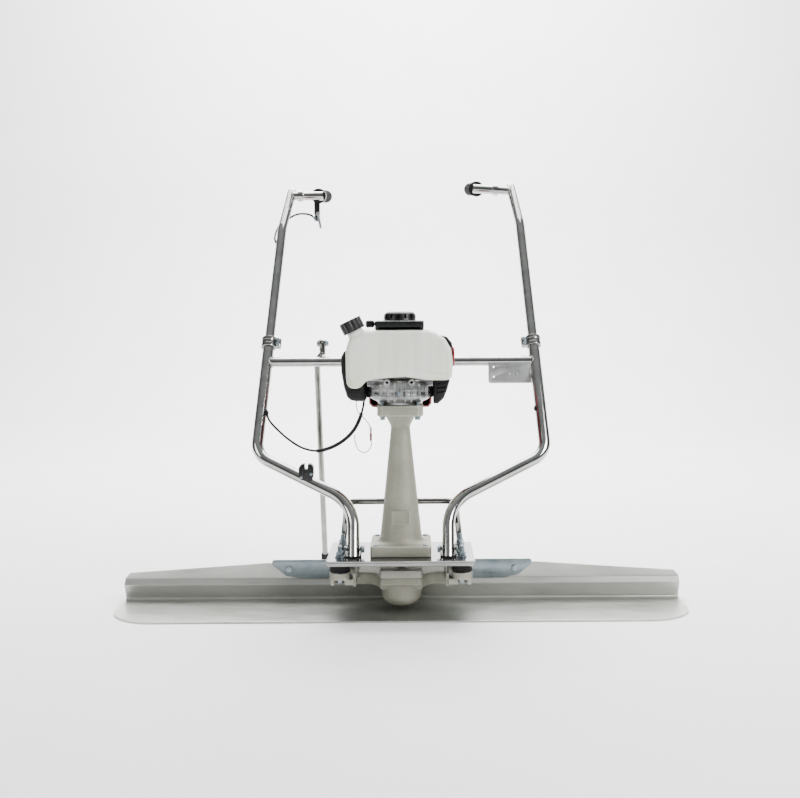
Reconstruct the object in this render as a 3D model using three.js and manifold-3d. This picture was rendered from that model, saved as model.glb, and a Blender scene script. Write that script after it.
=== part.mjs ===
// Vibrating screed: an aluminium blade, an exciter on it, a sprung base plate, a column that carries a small
// four-stroke engine with its shaft pointing down, and a folding-length handle frame that leans back to the user.
// Millimetres, +Z up. The blade lies along X, the user stands at +Y, and the origin is on the blade's sole
// straight below the shaft.
import * as THREE from "three";
import { mergeVertices } from "three/addons/utils/BufferGeometryUtils.js";
import Module from "manifold-3d";

const wasm = await Module();
wasm.setup();

// ---------------------------------------------------------------- driving dimensions
const CLEAR = 0.3; // between pieces that touch
const FIT = 0.3; // round a bolt or a shaft in its hole, on the radius

// blade
const BLADE_LENGTH = 1200;
const TOE_Y = -83;
const HEEL_Y = 131;
const BLADE_WALL = 3.6;
const RISER_FOOT_Y = 98;
const SHOULDER_Y = 81;
const SHOULDER_Z = 39;
const FLANGE_Y = 90;
const FLANGE_ROOT_Z = 50;
const FLANGE_THICK = 4;
const FLANGE_TOP_Z = 83;
const FLANGE_END_Z = 63;
const FLANGE_LEVEL = 290; // half the length over which the flange keeps its full height
const TOE_CORNER = 97;

// blade bracket
const BRACKET_HALF = 281;
const BRACKET_THICK = 2.7;
const BRACKET_TOP_Z = 90;
const BRACKET_BOTTOM_Z = 50.5;
const BRACKET_BOLT_X = 244.5;
const BRACKET_BOLT_Z = 70;
const BRACKET_BOLT_R = 4;

// exciter
const EXCITER_SQUARE = 88;
const EXCITER_JOINT_Z = 79;
const EXCITER_FLANGE_Z = 65;
const EXCITER_TOP_Z = 95;
const EXCITER_CUP_R = 41;
const EXCITER_BORE_R = 34;
const ARM_HALF = 98;
const ARM_FRONT_Y = 20;
const ARM_LOW_Z = 54;
const ARM_HIGH_Z = 80;
const CHEEK = 6;
const LEDGE_Z = 72;
const LEDGE_THICK = 11;
const CUP_R = 21.5;
const CUP_HIGH_Z = 97;
const MOUNT_X = 124.5;
const MOUNT_FRONT_Y = -53;
const MOUNT_REAR_Y = 45;
const STUD_R = 5;

// base plate
const PLATE_LENGTH = 300;
const PLATE_WIDTH = 190;
const PLATE_UNDER_Z = 115;
const PLATE_TOP_Z = 126;
const PLATE_SHEET = 3;

// column
const FOOT_SQUARE = 125;
const FOOT_THICK = 22.7;
const CONE_R = 43.5;
const NECK_R = 20;
const NECK_Z = 387;
const FLARE_R = 31;
const FLANGE_LOW_Z = 412;
const COLUMN_TOP_Z = 434;
const HEAD_SQUARE = 95;
const HEAD_BOLT = 36;
const FOOT_BOLT = 51;

// drive line
const SHAFT_R = 7.5;
const BEARING_UPPER_R = 17.5;
const BEARING_LOWER_R = 21;
const BEARING_THICK = 12;
const DRUM_R = 38;
const DRUM_WALL = 3;
const DRUM_LOW_Z = 440;
const DRUM_HEIGHT = 34;
const ECCENTRIC_R = 30;
const ECCENTRIC_HEIGHT = 32;
const CRANK_R = 8;

// engine
const BELL_R = 64;
const BELL_BORE_R = 43;
const BELL_TOP_Z = 486;
const CASE_HALF = 38;
const CASE_TOP_Z = 556;
const CRANK_WEB_R = 25;
const BORE_Z = 520;
const CYLINDER_R = 24;
const FIN_R = 33.5;
const FIN_COUNT = 5;
const FIN_PITCH = 12;
const FLYWHEEL_R = 36;
const FLYWHEEL_THICK = 16;
const HOOD_HALF = 50;
const HOOD_TOP_Z = 608;
const DOME_R = 33.5;
const DOME_TOP_Z = 627;
const COVER_WALL = 3;
const TANK_FRONT_Y = -88;
const TANK_BACK_Y = -43.5;
const TANK_ROUND = 9;
const TANK_WALL = 3;
const FILLER_R = 15;
const CAP_R = 23;
const CAP_HEIGHT = 24;
const CAP_TILT = 26;
const CAP_X = -96.8;
const CAP_Y = -66;
const CAP_Z = 599.4;

// handle frame
const TUBE_R = 12.5;
const TUBE_WALL = 1.5;
const MOUNT_GAP = 15; // between a tube's wall at its pivot and the front mount's centre
const PIVOT_X = MOUNT_X - TUBE_R - MOUNT_GAP;
const PIVOT_Y = -45;
const PIVOT_Z = 140;
const LEAN = 0.56; // backward run for each millimetre of height
const LOWER_SPLAY = 2; // outward run from the pivot to the lower bend
const LOWER_BEND_X = PIVOT_X + LOWER_SPLAY;
const LOWER_BEND_Z = 225.6;
const LOWER_BEND_R = 88;
const UPPER_BEND_X = 309.5;
const UPPER_BEND_Z = 321;
const UPPER_BEND_R = 48;
const TUBE_END_Z = 560;
const INWARD = 0.05; // inward run for each millimetre of height above the upper bend
const BAR_Z = 515;
const BAR_R = 11;
const BAR_WALL = 1.5;
const UPPER_TUBE_R = 10.7;
const UPPER_TUBE_WALL = 1.4;
const UPPER_START_Z = 470;
const KINK_Z = 826;
const KINK_R = 90;
const ELBOW_X = 271;
const ELBOW_Y = 411;
const ELBOW_Z = 911;
const TOP_REACH = 13; // upright past the cross arm's centre line, before its round end
const RIGHT_EXTRA = 11; // the right upper tube is drawn out this much further than the left
const CLAMP_R = 17;
const CLAMP_HEIGHT = 24;
const CROSS_STUB_R = 9.3;
const SLEEVE_R = 11;
const COLLAR_R = 14.5;
const COLLAR_WIDTH = 13;
const SLEEVE_LENGTH = 62;
const LEFT_COLLAR = 17; // from the upright's centre line to the left collar
const RIGHT_COLLAR = 33;
const GRIP_R = 16;
const GRIP_LENGTH = 108;
const GRIP_CORE_R = 9;
const STAY_R = 6.5;

// kick stand
const EAR_X = -173.5;
const EAR_THICK = 7;
const STAND_Y = 180;
const STAND_Z = 556;
const STAND_ROD_R = 6.7;
const STAND_ROD_X = -191;
const STAND_FOOT_Y = 408;
const FERRULE_R = 11;
const FERRULE_LENGTH = 36;
const STAND_BOLT_R = 4;

// ---------------------------------------------------------------- making solids
function solid(geometry) {
  const flat = geometry.index ? geometry.toNonIndexed() : geometry;
  const bare = new THREE.BufferGeometry();
  bare.setAttribute("position", flat.getAttribute("position"));
  const merged = mergeVertices(bare, 1e-3);
  const index = merged.index.array;
  const kept = [];
  for (let i = 0; i < index.length; i += 3) {
    const [a, b, c] = [index[i], index[i + 1], index[i + 2]];
    if (a !== b && b !== c && c !== a) kept.push(a, b, c);
  }
  const mesh = new wasm.Mesh({
    numProp: 3,
    vertProperties: merged.attributes.position.array,
    triVerts: new Uint32Array(kept),
  });
  return new wasm.Manifold(mesh);
}

// Round pieces are faceted more coarsely than their nominal count, by one factor for the whole model.
const FACETS = 0.22;
const facets = (sides) => Math.max(6, 2 * Math.round(sides * FACETS));

function joined(first, ...rest) {
  return rest.reduce((sum, next) => sum.add(next), first);
}

function cut(body, ...tools) {
  return tools.reduce((left, tool) => left.subtract(tool), body);
}

function outline(points) {
  return new THREE.Shape(points.map(([a, b]) => new THREE.Vector2(a, b)));
}

// A plan outline in X and Y, between two heights.
function prism(points, z0, z1) {
  const g = new THREE.ExtrudeGeometry(outline(points), {
    depth: z1 - z0,
    bevelEnabled: false,
    curveSegments: 1,
  });
  g.translate(0, 0, z0);
  return solid(g);
}

// An outline in Y and Z, between two stations along X.
function prismX(points, x0, x1) {
  const g = new THREE.ExtrudeGeometry(outline(points), {
    depth: x1 - x0,
    bevelEnabled: false,
    curveSegments: 1,
  });
  g.translate(0, 0, x0);
  const turn = new THREE.Matrix4();
  turn.makeBasis(
    new THREE.Vector3(0, 1, 0),
    new THREE.Vector3(0, 0, 1),
    new THREE.Vector3(1, 0, 0),
  );
  g.applyMatrix4(turn);
  return solid(g);
}

// An outline in X and Z, between two stations along Y, with rounded front and back edges if round is given.
function prismY(points, y0, y1, round = 0) {
  const g = new THREE.ExtrudeGeometry(outline(round ? inset(points, round) : points), {
    depth: y1 - y0 - 2 * round,
    bevelEnabled: round > 0,
    bevelThickness: round,
    bevelSize: round,
    bevelSegments: 3,
    curveSegments: 1,
  });
  g.translate(0, 0, -y1 + round);
  g.rotateX(Math.PI / 2);
  return solid(g);
}

function box(x0, x1, y0, y1, z0, z1) {
  const g = new THREE.BoxGeometry(x1 - x0, y1 - y0, z1 - z0);
  g.translate((x0 + x1) / 2, (y0 + y1) / 2, (z0 + z1) / 2);
  return solid(g);
}

// Turned about the Z axis: the profile is [radius, height], closed back to its first point.
function turned(profile, sides = 32) {
  let area = 0;
  profile.forEach(([r, z], i) => {
    const [r2, z2] = profile[(i + 1) % profile.length];
    area += r * z2 - r2 * z;
  });
  const ring = area < 0 ? [...profile].reverse() : [...profile];
  while (!(ring[0][0] === 0 && ring[ring.length - 1][0] === 0) && profile.some(([r]) => r === 0)) {
    ring.push(ring.shift());
  }
  if (ring[0][0] !== 0) ring.push(ring[0]);
  const g = new THREE.LatheGeometry(
    ring.map(([r, z]) => new THREE.Vector2(r, z)),
    facets(sides),
  );
  g.rotateX(Math.PI / 2);
  return solid(g);
}

const at = (x, y, z) => new THREE.Vector3(x, y, z);

// Moves a piece made on the Z axis so that it stands at a point and points along a direction.
function placed(body, point, direction) {
  const m = new THREE.Matrix4();
  const turn = new THREE.Quaternion().setFromUnitVectors(at(0, 0, 1), direction.clone().normalize());
  m.compose(point, turn, at(1, 1, 1));
  return body.transform(m.elements);
}

function rod(radius, from, to, sides = 20) {
  const way = to.clone().sub(from);
  const g = new THREE.CylinderGeometry(radius, radius, way.length(), facets(sides));
  g.rotateX(Math.PI / 2);
  g.translate(0, 0, way.length() / 2);
  return placed(solid(g), from, way);
}

// A round cut whose flats, not its corners, lie at the radius, so that a rod of that radius passes through it.
function bore(radius, from, to, sides = 20) {
  return rod(radius / Math.cos(Math.PI / facets(sides)), from, to, sides);
}

// The same for a bore in a turned profile.
const roomy = (radius, sides) => radius / Math.cos(Math.PI / facets(sides));

// Offsets a closed outline inwards, edge by edge.
function inset(points, distance) {
  const area = points.reduce((sum, [a, b], i) => {
    const [c, d] = points[(i + 1) % points.length];
    return sum + a * d - c * b;
  }, 0);
  const side = area > 0 ? 1 : -1;
  return points.map((p, i) => {
    const before = points[(i + points.length - 1) % points.length];
    const after = points[(i + 1) % points.length];
    const n1 = edgeNormal(before, p, side);
    const n2 = edgeNormal(p, after, side);
    const grow = distance / (1 + n1[0] * n2[0] + n1[1] * n2[1]);
    return [p[0] + (n1[0] + n2[0]) * grow, p[1] + (n1[1] + n2[1]) * grow];
  });
}

function edgeNormal([a, b], [c, d], side) {
  const length = Math.hypot(c - a, d - b);
  return [(-(d - b) / length) * side, ((c - a) / length) * side];
}

function arc(cx, cy, radius, from, to, steps) {
  const points = [];
  for (let i = 0; i <= steps; i += 1) {
    const a = ((from + ((to - from) * i) / steps) * Math.PI) / 180;
    points.push([cx + radius * Math.cos(a), cy + radius * Math.sin(a)]);
  }
  return points;
}

function roundedSquare(half, corner, halfY = half) {
  return [
    ...arc(half - corner, halfY - corner, corner, 0, 90, 3),
    ...arc(-half + corner, halfY - corner, corner, 90, 180, 3),
    ...arc(-half + corner, -halfY + corner, corner, 180, 270, 3),
    ...arc(half - corner, -halfY + corner, corner, 270, 360, 3),
  ];
}

// A path through chosen stations, each with its own tangent.
class StationPath extends THREE.Curve {
  constructor(stations) {
    super();
    this.stations = stations;
  }

  at(u) {
    const last = this.stations.length - 1;
    return this.stations[Math.min(last, Math.round(u * last))];
  }

  getPoint(t) {
    return this.at(t).point.clone();
  }

  getPointAt(u) {
    return this.at(u).point.clone();
  }

  getTangentAt(u) {
    return this.at(u).way.clone();
  }
}

// Straight runs joined by bends: each corner is [point, bend radius].
function bentStations(corners, bendStep = 15) {
  const points = corners.map(([p]) => p);
  const stations = [];
  const first = points[1].clone().sub(points[0]).normalize();
  stations.push({ point: points[0].clone(), way: first });
  for (let i = 1; i < points.length - 1; i += 1) {
    const into = points[i].clone().sub(points[i - 1]).normalize();
    const out = points[i + 1].clone().sub(points[i]).normalize();
    const angle = into.angleTo(out);
    const radius = corners[i][1];
    const side = out.clone().addScaledVector(into, -out.dot(into)).normalize();
    const start = points[i].clone().addScaledVector(into, -radius * Math.tan(angle / 2));
    const steps = Math.max(2, Math.ceil((angle * 180) / Math.PI / bendStep));
    for (let k = 0; k <= steps; k += 1) {
      const a = (angle * k) / steps;
      stations.push({
        point: start
          .clone()
          .addScaledVector(into, radius * Math.sin(a))
          .addScaledVector(side, radius * (1 - Math.cos(a))),
        way: into.clone().multiplyScalar(Math.cos(a)).addScaledVector(side, Math.sin(a)),
      });
    }
  }
  const end = points[points.length - 1];
  const last = end.clone().sub(points[points.length - 2]).normalize();
  stations.push({ point: end.clone(), way: last });
  return stations;
}

function circleShape(radius, sides) {
  return outline(arc(0, 0, radius, 0, 360 - 360 / sides, sides - 1));
}

function swept(path, steps, radius, sides) {
  return solid(
    new THREE.ExtrudeGeometry(circleShape(radius, sides), {
      extrudePath: path,
      steps,
      curveSegments: 1,
    }),
  );
}

// A bent tube with an open bore: the bore runs a little past both ends.
function bentTube(corners, radius, wall, sides = 8) {
  const stations = bentStations(corners);
  const outer = swept(new StationPath(stations), stations.length - 1, radius, sides);
  if (!wall) return outer;
  const past = stations.map((s) => ({ point: s.point.clone(), way: s.way.clone() }));
  past[0].point.addScaledVector(past[0].way, -1);
  past[past.length - 1].point.addScaledVector(past[past.length - 1].way, 1);
  const open = (radius - wall) / Math.cos(Math.PI / sides);
  return cut(outer, swept(new StationPath(past), past.length - 1, open, sides));
}

function hexagon(across, turn = 0) {
  return arc(0, 0, across / Math.sqrt(3), turn, turn + 300, 5);
}

// ---------------------------------------------------------------- materials and nodes
const group = new THREE.Group();

function add(name, body, color, roughness, metalness) {
  const mesh = body.getMesh();
  const g = new THREE.BufferGeometry();
  g.setAttribute("position", new THREE.BufferAttribute(new Float32Array(mesh.vertProperties), 3));
  g.setIndex(new THREE.BufferAttribute(new Uint32Array(mesh.triVerts), 1));
  const faces = g.toNonIndexed();
  faces.computeVertexNormals();
  const made = new THREE.Mesh(faces, new THREE.MeshStandardMaterial({ color, roughness, metalness }));
  made.name = name;
  group.add(made);
}

const CAST = [0x99968a, 0.72, 0.55];
const MILL = [0xb8bab2, 0.38, 0.9];
const ZINC = [0xa3b2b6, 0.35, 0.9];
const CHROME = [0xd6d6d2, 0.12, 1];
const BRIGHT = [0xc4c5c2, 0.3, 0.9];
const STEEL = [0x8c8e90, 0.35, 0.9];
const RUBBER = [0x161614, 0.8, 0];
const PLASTIC = [0x202222, 0.5, 0];
const MILKY = [0xc8cfc5, 0.45, 0];
const RED = [0xa8283c, 0.4, 0];

// ---------------------------------------------------------------- blade
const half = BLADE_LENGTH / 2;
const flangeBack = FLANGE_Y + FLANGE_THICK;
const heelTop = 2 * BLADE_WALL;
const bladeSection = [
  [TOE_Y, 1.2],
  [TOE_Y + 1.2, 0],
  [HEEL_Y - 2, 0],
  [HEEL_Y, 2],
  [HEEL_Y, heelTop],
  [flangeBack, FLANGE_ROOT_Z + FLANGE_THICK],
  [flangeBack, FLANGE_TOP_Z],
  [FLANGE_Y, FLANGE_TOP_Z],
  [FLANGE_Y, FLANGE_ROOT_Z],
  [SHOULDER_Y, SHOULDER_Z],
  [RISER_FOOT_Y, BLADE_WALL],
  [TOE_Y + 1, BLADE_WALL],
  [TOE_Y, BLADE_WALL - 1],
];
const hollowSection = inset(
  [
    [RISER_FOOT_Y + 1.6, 0],
    [HEEL_Y, 0],
    [HEEL_Y, heelTop],
    [flangeBack, FLANGE_ROOT_Z + FLANGE_THICK],
    [FLANGE_Y, FLANGE_ROOT_Z],
    [SHOULDER_Y, SHOULDER_Z],
  ],
  BLADE_WALL,
);
const bladePlan = [
  [half, HEEL_Y + 5],
  [-half, HEEL_Y + 5],
  ...arc(-half + TOE_CORNER, TOE_Y + TOE_CORNER, TOE_CORNER, 180, 270, 10),
  ...arc(half - TOE_CORNER, TOE_Y + TOE_CORNER, TOE_CORNER, 270, 360, 10),
];
const flangeTaper = [
  [FLANGE_LEVEL, FLANGE_TOP_Z],
  [half - 14, FLANGE_END_Z + 0.8],
  [half - 5, FLANGE_END_Z - 3],
  [half + 1, FLANGE_END_Z - 12],
  [half + 1, FLANGE_TOP_Z + 1],
  [FLANGE_LEVEL, FLANGE_TOP_Z + 1],
];
const mirrored = (points) => points.map(([x, z]) => [-x, z]);
const boltHole = (x) =>
  bore(BRACKET_BOLT_R + FIT, at(x, FLANGE_Y - 20, BRACKET_BOLT_Z), at(x, flangeBack + 20, BRACKET_BOLT_Z), 16);
add(
  "blade_profile",
  cut(
    prismX(bladeSection, -half, half).intersect(prism(bladePlan, -1, FLANGE_TOP_Z + 1)),
    prismX(hollowSection, -half - 1, half + 1),
    prismY(flangeTaper, FLANGE_Y - 0.5, flangeBack + 5),
    prismY(mirrored(flangeTaper), FLANGE_Y - 0.5, flangeBack + 5),
    boltHole(BRACKET_BOLT_X),
    boltHole(-BRACKET_BOLT_X),
  ),
  ...MILL,
);

// ---------------------------------------------------------------- blade bracket and its bolts
const bracketBack = FLANGE_Y - CLEAR;
const bracketFront = bracketBack - BRACKET_THICK;
const bracketEnd = [
  [BRACKET_HALF - 35, BRACKET_BOTTOM_Z + 2.5],
  [BRACKET_HALF - 28, BRACKET_BOTTOM_Z + 8],
  [BRACKET_HALF, BRACKET_TOP_Z - 11],
  [BRACKET_HALF, BRACKET_TOP_Z - 6],
  [BRACKET_HALF - 5, BRACKET_TOP_Z],
];
add(
  "blade_bracket",
  cut(
    prismY(
      [...bracketEnd, ...mirrored(bracketEnd).reverse(), [-140, BRACKET_BOTTOM_Z], [140, BRACKET_BOTTOM_Z]],
      bracketFront,
      bracketBack,
    ),
    boltHole(BRACKET_BOLT_X),
    boltHole(-BRACKET_BOLT_X),
  ),
  ...ZINC,
);

const HEX_HEAD = 13;
for (const [side, x] of [
  ["left", -BRACKET_BOLT_X],
  ["right", BRACKET_BOLT_X],
]) {
  const headFront = bracketFront - CLEAR;
  const nutBack = flangeBack + CLEAR;
  const head = placed(prism(hexagon(HEX_HEAD), 0, 6), at(x, headFront, BRACKET_BOLT_Z), at(0, -1, 0));
  const nut = placed(prism(hexagon(HEX_HEAD), 0, 6), at(x, nutBack, BRACKET_BOLT_Z), at(0, 1, 0));
  const shank = rod(
    BRACKET_BOLT_R,
    at(x, headFront - 1, BRACKET_BOLT_Z),
    at(x, nutBack + 9, BRACKET_BOLT_Z),
    16,
  );
  add(`bracket_bolt_${side}`, joined(head, nut, shank), ...ZINC);
}

// ---------------------------------------------------------------- exciter
const mounts = [
  ["front_left", -MOUNT_X, MOUNT_FRONT_Y],
  ["front_right", MOUNT_X, MOUNT_FRONT_Y],
  ["rear_left", -MOUNT_X, MOUNT_REAR_Y],
  ["rear_right", MOUNT_X, MOUNT_REAR_Y],
];
const ledgeTop = LEDGE_Z + LEDGE_THICK;
const padBack = bracketFront - CLEAR;
const squareHalf = EXCITER_SQUARE / 2;
const filletR = ARM_HALF - CHEEK - squareHalf + 2;
const armPlan = [
  [ARM_HALF, padBack],
  [-ARM_HALF, padBack],
  [-ARM_HALF, ARM_FRONT_Y],
  ...arc(-squareHalf + 2 - filletR, ARM_FRONT_Y - filletR, filletR, 90, 0, 6),
  ...arc(squareHalf - 2 + filletR, ARM_FRONT_Y - filletR, filletR, 180, 90, 6),
  [ARM_HALF, ARM_FRONT_Y],
];
let housing = joined(
  prism(armPlan, ARM_LOW_Z, ARM_HIGH_Z - 1.5),
  turned(
    [
      [0, 17],
      [18, 17.6],
      [30, 21],
      [37.5, 27],
      [EXCITER_CUP_R, 36],
      [EXCITER_CUP_R, EXCITER_FLANGE_Z + 1],
      [0, EXCITER_FLANGE_Z + 1],
    ],
    36,
  ),
);
const flangeBlock = prism(roundedSquare(squareHalf, 8), EXCITER_FLANGE_Z, EXCITER_JOINT_Z);
for (const s of [-1, 1]) {
  const [near, far] = s < 0 ? [-ARM_HALF, -ARM_HALF + CHEEK] : [ARM_HALF - CHEEK, ARM_HALF];
  const frontLow = MOUNT_FRONT_Y - CUP_R + 5;
  const rearHigh = MOUNT_REAR_Y + CUP_R - 2;
  housing = housing.add(box(near, far, frontLow + 6, rearHigh, LEDGE_Z - 4, CUP_HIGH_Z - 2));
  const [in_, out] = s < 0 ? [-MOUNT_X - 18, -ARM_HALF + 1] : [ARM_HALF - 1, MOUNT_X + 18];
  for (const y of [MOUNT_FRONT_Y, MOUNT_REAR_Y]) {
    housing = housing.add(box(in_, out, y - CUP_R + 6, y + CUP_R - 2, LEDGE_Z, ledgeTop + 0.5));
    housing = housing.add(rod(CUP_R, at(s * MOUNT_X, y, ledgeTop), at(s * MOUNT_X, y, CUP_HIGH_Z), 28));
  }
}
housing = cut(
  housing,
  box(-squareHalf - CLEAR, squareHalf + CLEAR, -squareHalf - CLEAR, squareHalf + CLEAR, EXCITER_JOINT_Z, 120),
);
housing = housing.add(flangeBlock);
housing = cut(
  housing,
  bore(EXCITER_BORE_R, at(0, 0, 26), at(0, 0, EXCITER_JOINT_Z + 1), 36),
  ...mounts.map(([, x, y]) => bore(STUD_R + FIT, at(x, y, 40), at(x, y, CUP_HIGH_Z + 1), 16)),
  ...mounts.map(([, x, y]) => bore(10.5, at(x, y, LEDGE_Z - 1), at(x, y, ledgeTop), 20)),
  ...mounts.map(([, x, y]) => box(x - 10.5, x + 10.5, y - CUP_R - 2, y, LEDGE_Z - 1, ledgeTop)),
);
add("exciter_housing", housing, ...CAST);

const coverLow = EXCITER_JOINT_Z + CLEAR;
const seatLow = coverLow - 1;
const seatHigh = coverLow + BEARING_THICK + 2 * CLEAR;
add(
  "exciter_cover",
  cut(
    prism(roundedSquare(squareHalf, 8), coverLow, EXCITER_TOP_Z),
    bore(BEARING_LOWER_R + FIT, at(0, 0, seatLow), at(0, 0, seatHigh), 32),
    bore(SHAFT_R + 3, at(0, 0, seatLow), at(0, 0, EXCITER_TOP_Z + 1), 24),
  ),
  ...CAST,
);

function bearing(outer, z0) {
  return turned(
    [
      [roomy(SHAFT_R + FIT, 28), z0],
      [outer - 1, z0],
      [outer, z0 + 1],
      [outer, z0 + BEARING_THICK - 1],
      [outer - 1, z0 + BEARING_THICK],
      [roomy(SHAFT_R + FIT, 28), z0 + BEARING_THICK],
    ],
    28,
  );
}
add("bearing_lower", bearing(BEARING_LOWER_R, coverLow + CLEAR), ...STEEL);

// ---------------------------------------------------------------- rubber mounts and their bolts
const plateUnder = PLATE_UNDER_Z;
for (const [name, x, y] of mounts) {
  const low = CUP_HIGH_Z + CLEAR;
  const high = plateUnder - CLEAR;
  const middle = (low + high) / 2;
  const profile = [
    [roomy(STUD_R + FIT, 28), low],
    [CUP_R - 0.5, low],
    [CUP_R, low + 2],
    [CUP_R - 1.2, middle],
    [CUP_R, high - 2],
    [CUP_R - 0.5, high],
    [roomy(STUD_R + FIT, 28), high],
  ];
  add(`rubber_mount_${name}`, placed(turned(profile, 28), at(x, y, 0), at(0, 0, 1)), ...RUBBER);
}
const plateSheetLow = PLATE_TOP_Z - PLATE_SHEET;
for (const [name, x, y] of mounts) {
  const rear = y > 0;
  const washerLow = PLATE_TOP_Z + CLEAR + (rear ? 5 : 0);
  const headTop = ledgeTop - CLEAR;
  const head = placed(prism(hexagon(15), headTop - 8.5, headTop), at(x, y, 0), at(0, 0, 1));
  const shank = rod(STUD_R, at(x, y, headTop - 1), at(x, y, washerLow + 23), 16);
  const washer = rod(10.5, at(x, y, washerLow), at(x, y, washerLow + 2), 24);
  const nut = placed(prism(hexagon(15, 30), washerLow + 1, washerLow + 11), at(x, y, 0), at(0, 0, 1));
  add(`mount_bolt_${name}`, joined(head, shank, washer, nut), ...ZINC);
}

// ---------------------------------------------------------------- base plate: a folded tray, open underneath
const plateHalfX = PLATE_LENGTH / 2;
const plateHalfY = PLATE_WIDTH / 2;
const shaftHole = 26;
const bracketBolts = [-1, 1].map((s) => [s * PIVOT_X, PIVOT_Y]);
add(
  "base_plate",
  cut(
    prism(roundedSquare(plateHalfX, 5, plateHalfY), plateUnder, PLATE_TOP_Z),
    prism(
      roundedSquare(plateHalfX - PLATE_SHEET, 3, plateHalfY - PLATE_SHEET),
      plateUnder - 1,
      plateSheetLow - 4,
    ),
    bore(shaftHole, at(0, 0, plateUnder - 1), at(0, 0, PLATE_TOP_Z + 1), 28),
    ...mounts.map(([, x, y]) => bore(STUD_R + FIT, at(x, y, plateUnder - 1), at(x, y, PLATE_TOP_Z + 1), 16)),
  ).add(
    mounts
      .map(([, x, y]) =>
        cut(
          rod(CUP_R, at(x, y, plateUnder), at(x, y, plateSheetLow), 24),
          bore(STUD_R + FIT, at(x, y, plateUnder - 1), at(x, y, PLATE_TOP_Z + 1), 16),
        ),
      )
      .reduce((a, b) => a.add(b)),
  ),
  ...BRIGHT,
);

// ---------------------------------------------------------------- column
const footLow = PLATE_TOP_Z + CLEAR;
const footTop = footLow + FOOT_THICK;
const headHalf = HEAD_SQUARE / 2;
const chamfer = 10;
const headPlan = [
  [headHalf, -headHalf + chamfer],
  [headHalf, headHalf - chamfer],
  [headHalf - chamfer, headHalf],
  [-headHalf + chamfer, headHalf],
  [-headHalf, headHalf - chamfer],
  [-headHalf, -headHalf + chamfer],
  [-headHalf + chamfer, -headHalf],
  [headHalf - chamfer, -headHalf],
];
const columnWall = 6.5;
const upperSeatLow = FLANGE_LOW_Z - BEARING_THICK;
const cone = turned(
  [
    [0, footTop - 1],
    [CONE_R + 4, footTop - 1],
    [CONE_R + 1.2, footTop + 1.5],
    [CONE_R, footTop + 6],
    [NECK_R, NECK_Z],
    [NECK_R + 3, NECK_Z + 5],
    [FLARE_R, FLANGE_LOW_Z - 4],
    [FLARE_R, FLANGE_LOW_Z + 1],
    [0, FLANGE_LOW_Z + 1],
  ],
  40,
);
const columnBore = turned(
  [
    [0, footLow - 1],
    [CONE_R - columnWall, footLow - 1],
    [CONE_R - columnWall, footTop + 6],
    [NECK_R - columnWall, NECK_Z - 5],
    [NECK_R - columnWall, upperSeatLow + 0.5],
    [0, upperSeatLow + 0.5],
  ],
  28,
);
const footHoles = [-1, 1].flatMap((a) => [-1, 1].map((b) => [a * FOOT_BOLT, b * FOOT_BOLT]));
const headHoles = [-1, 1].flatMap((a) => [-1, 1].map((b) => [a * HEAD_BOLT, b * HEAD_BOLT]));
add(
  "column",
  cut(
    joined(
      prism(roundedSquare(FOOT_SQUARE / 2, 8), footLow, footTop),
      cone,
      prism(headPlan, FLANGE_LOW_Z, COLUMN_TOP_Z),
    ),
    columnBore,
    bore(BEARING_UPPER_R + FIT, at(0, 0, upperSeatLow), at(0, 0, COLUMN_TOP_Z + 1), 28),
    ...footHoles.map(([x, y]) => bore(4.3, at(x, y, footLow - 1), at(x, y, footTop + 1), 12)),
    ...headHoles.map(([x, y]) => bore(3.4, at(x, y, FLANGE_LOW_Z - 1), at(x, y, COLUMN_TOP_Z + 1), 12)),
  ),
  ...CAST,
);
add("bearing_upper", bearing(BEARING_UPPER_R, upperSeatLow + CLEAR), ...STEEL);

// ---------------------------------------------------------------- drive shaft, clutch drum and eccentric
const couplingLow = EXCITER_TOP_Z + 3;
const couplingHigh = PLATE_UNDER_Z - 3;
const drumTop = DRUM_LOW_Z + DRUM_HEIGHT;
add(
  "drive_shaft",
  turned(
    [
      [0, 30],
      [SHAFT_R, 30],
      [SHAFT_R, couplingLow],
      [17, couplingLow],
      [17, couplingHigh],
      [SHAFT_R, couplingHigh],
      [SHAFT_R, DRUM_LOW_Z],
      [DRUM_R, DRUM_LOW_Z],
      [DRUM_R, drumTop],
      [DRUM_R - DRUM_WALL, drumTop],
      [DRUM_R - DRUM_WALL, DRUM_LOW_Z + DRUM_WALL + 1],
      [0, DRUM_LOW_Z + DRUM_WALL + 1],
    ],
    28,
  ),
  ...STEEL,
);
const eccentricLow = 34;
const eccentricHigh = eccentricLow + ECCENTRIC_HEIGHT;
add(
  "eccentric_weight",
  cut(
    joined(
      prism([...arc(0, 0, ECCENTRIC_R, 0, 180, 16)], eccentricLow, eccentricHigh),
      rod(SHAFT_R + 6, at(0, 0, eccentricLow), at(0, 0, eccentricHigh), 24),
    ),
    bore(SHAFT_R + FIT, at(0, 0, eccentricLow - 1), at(0, 0, eccentricHigh + 1), 28),
  ),
  ...STEEL,
);

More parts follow.
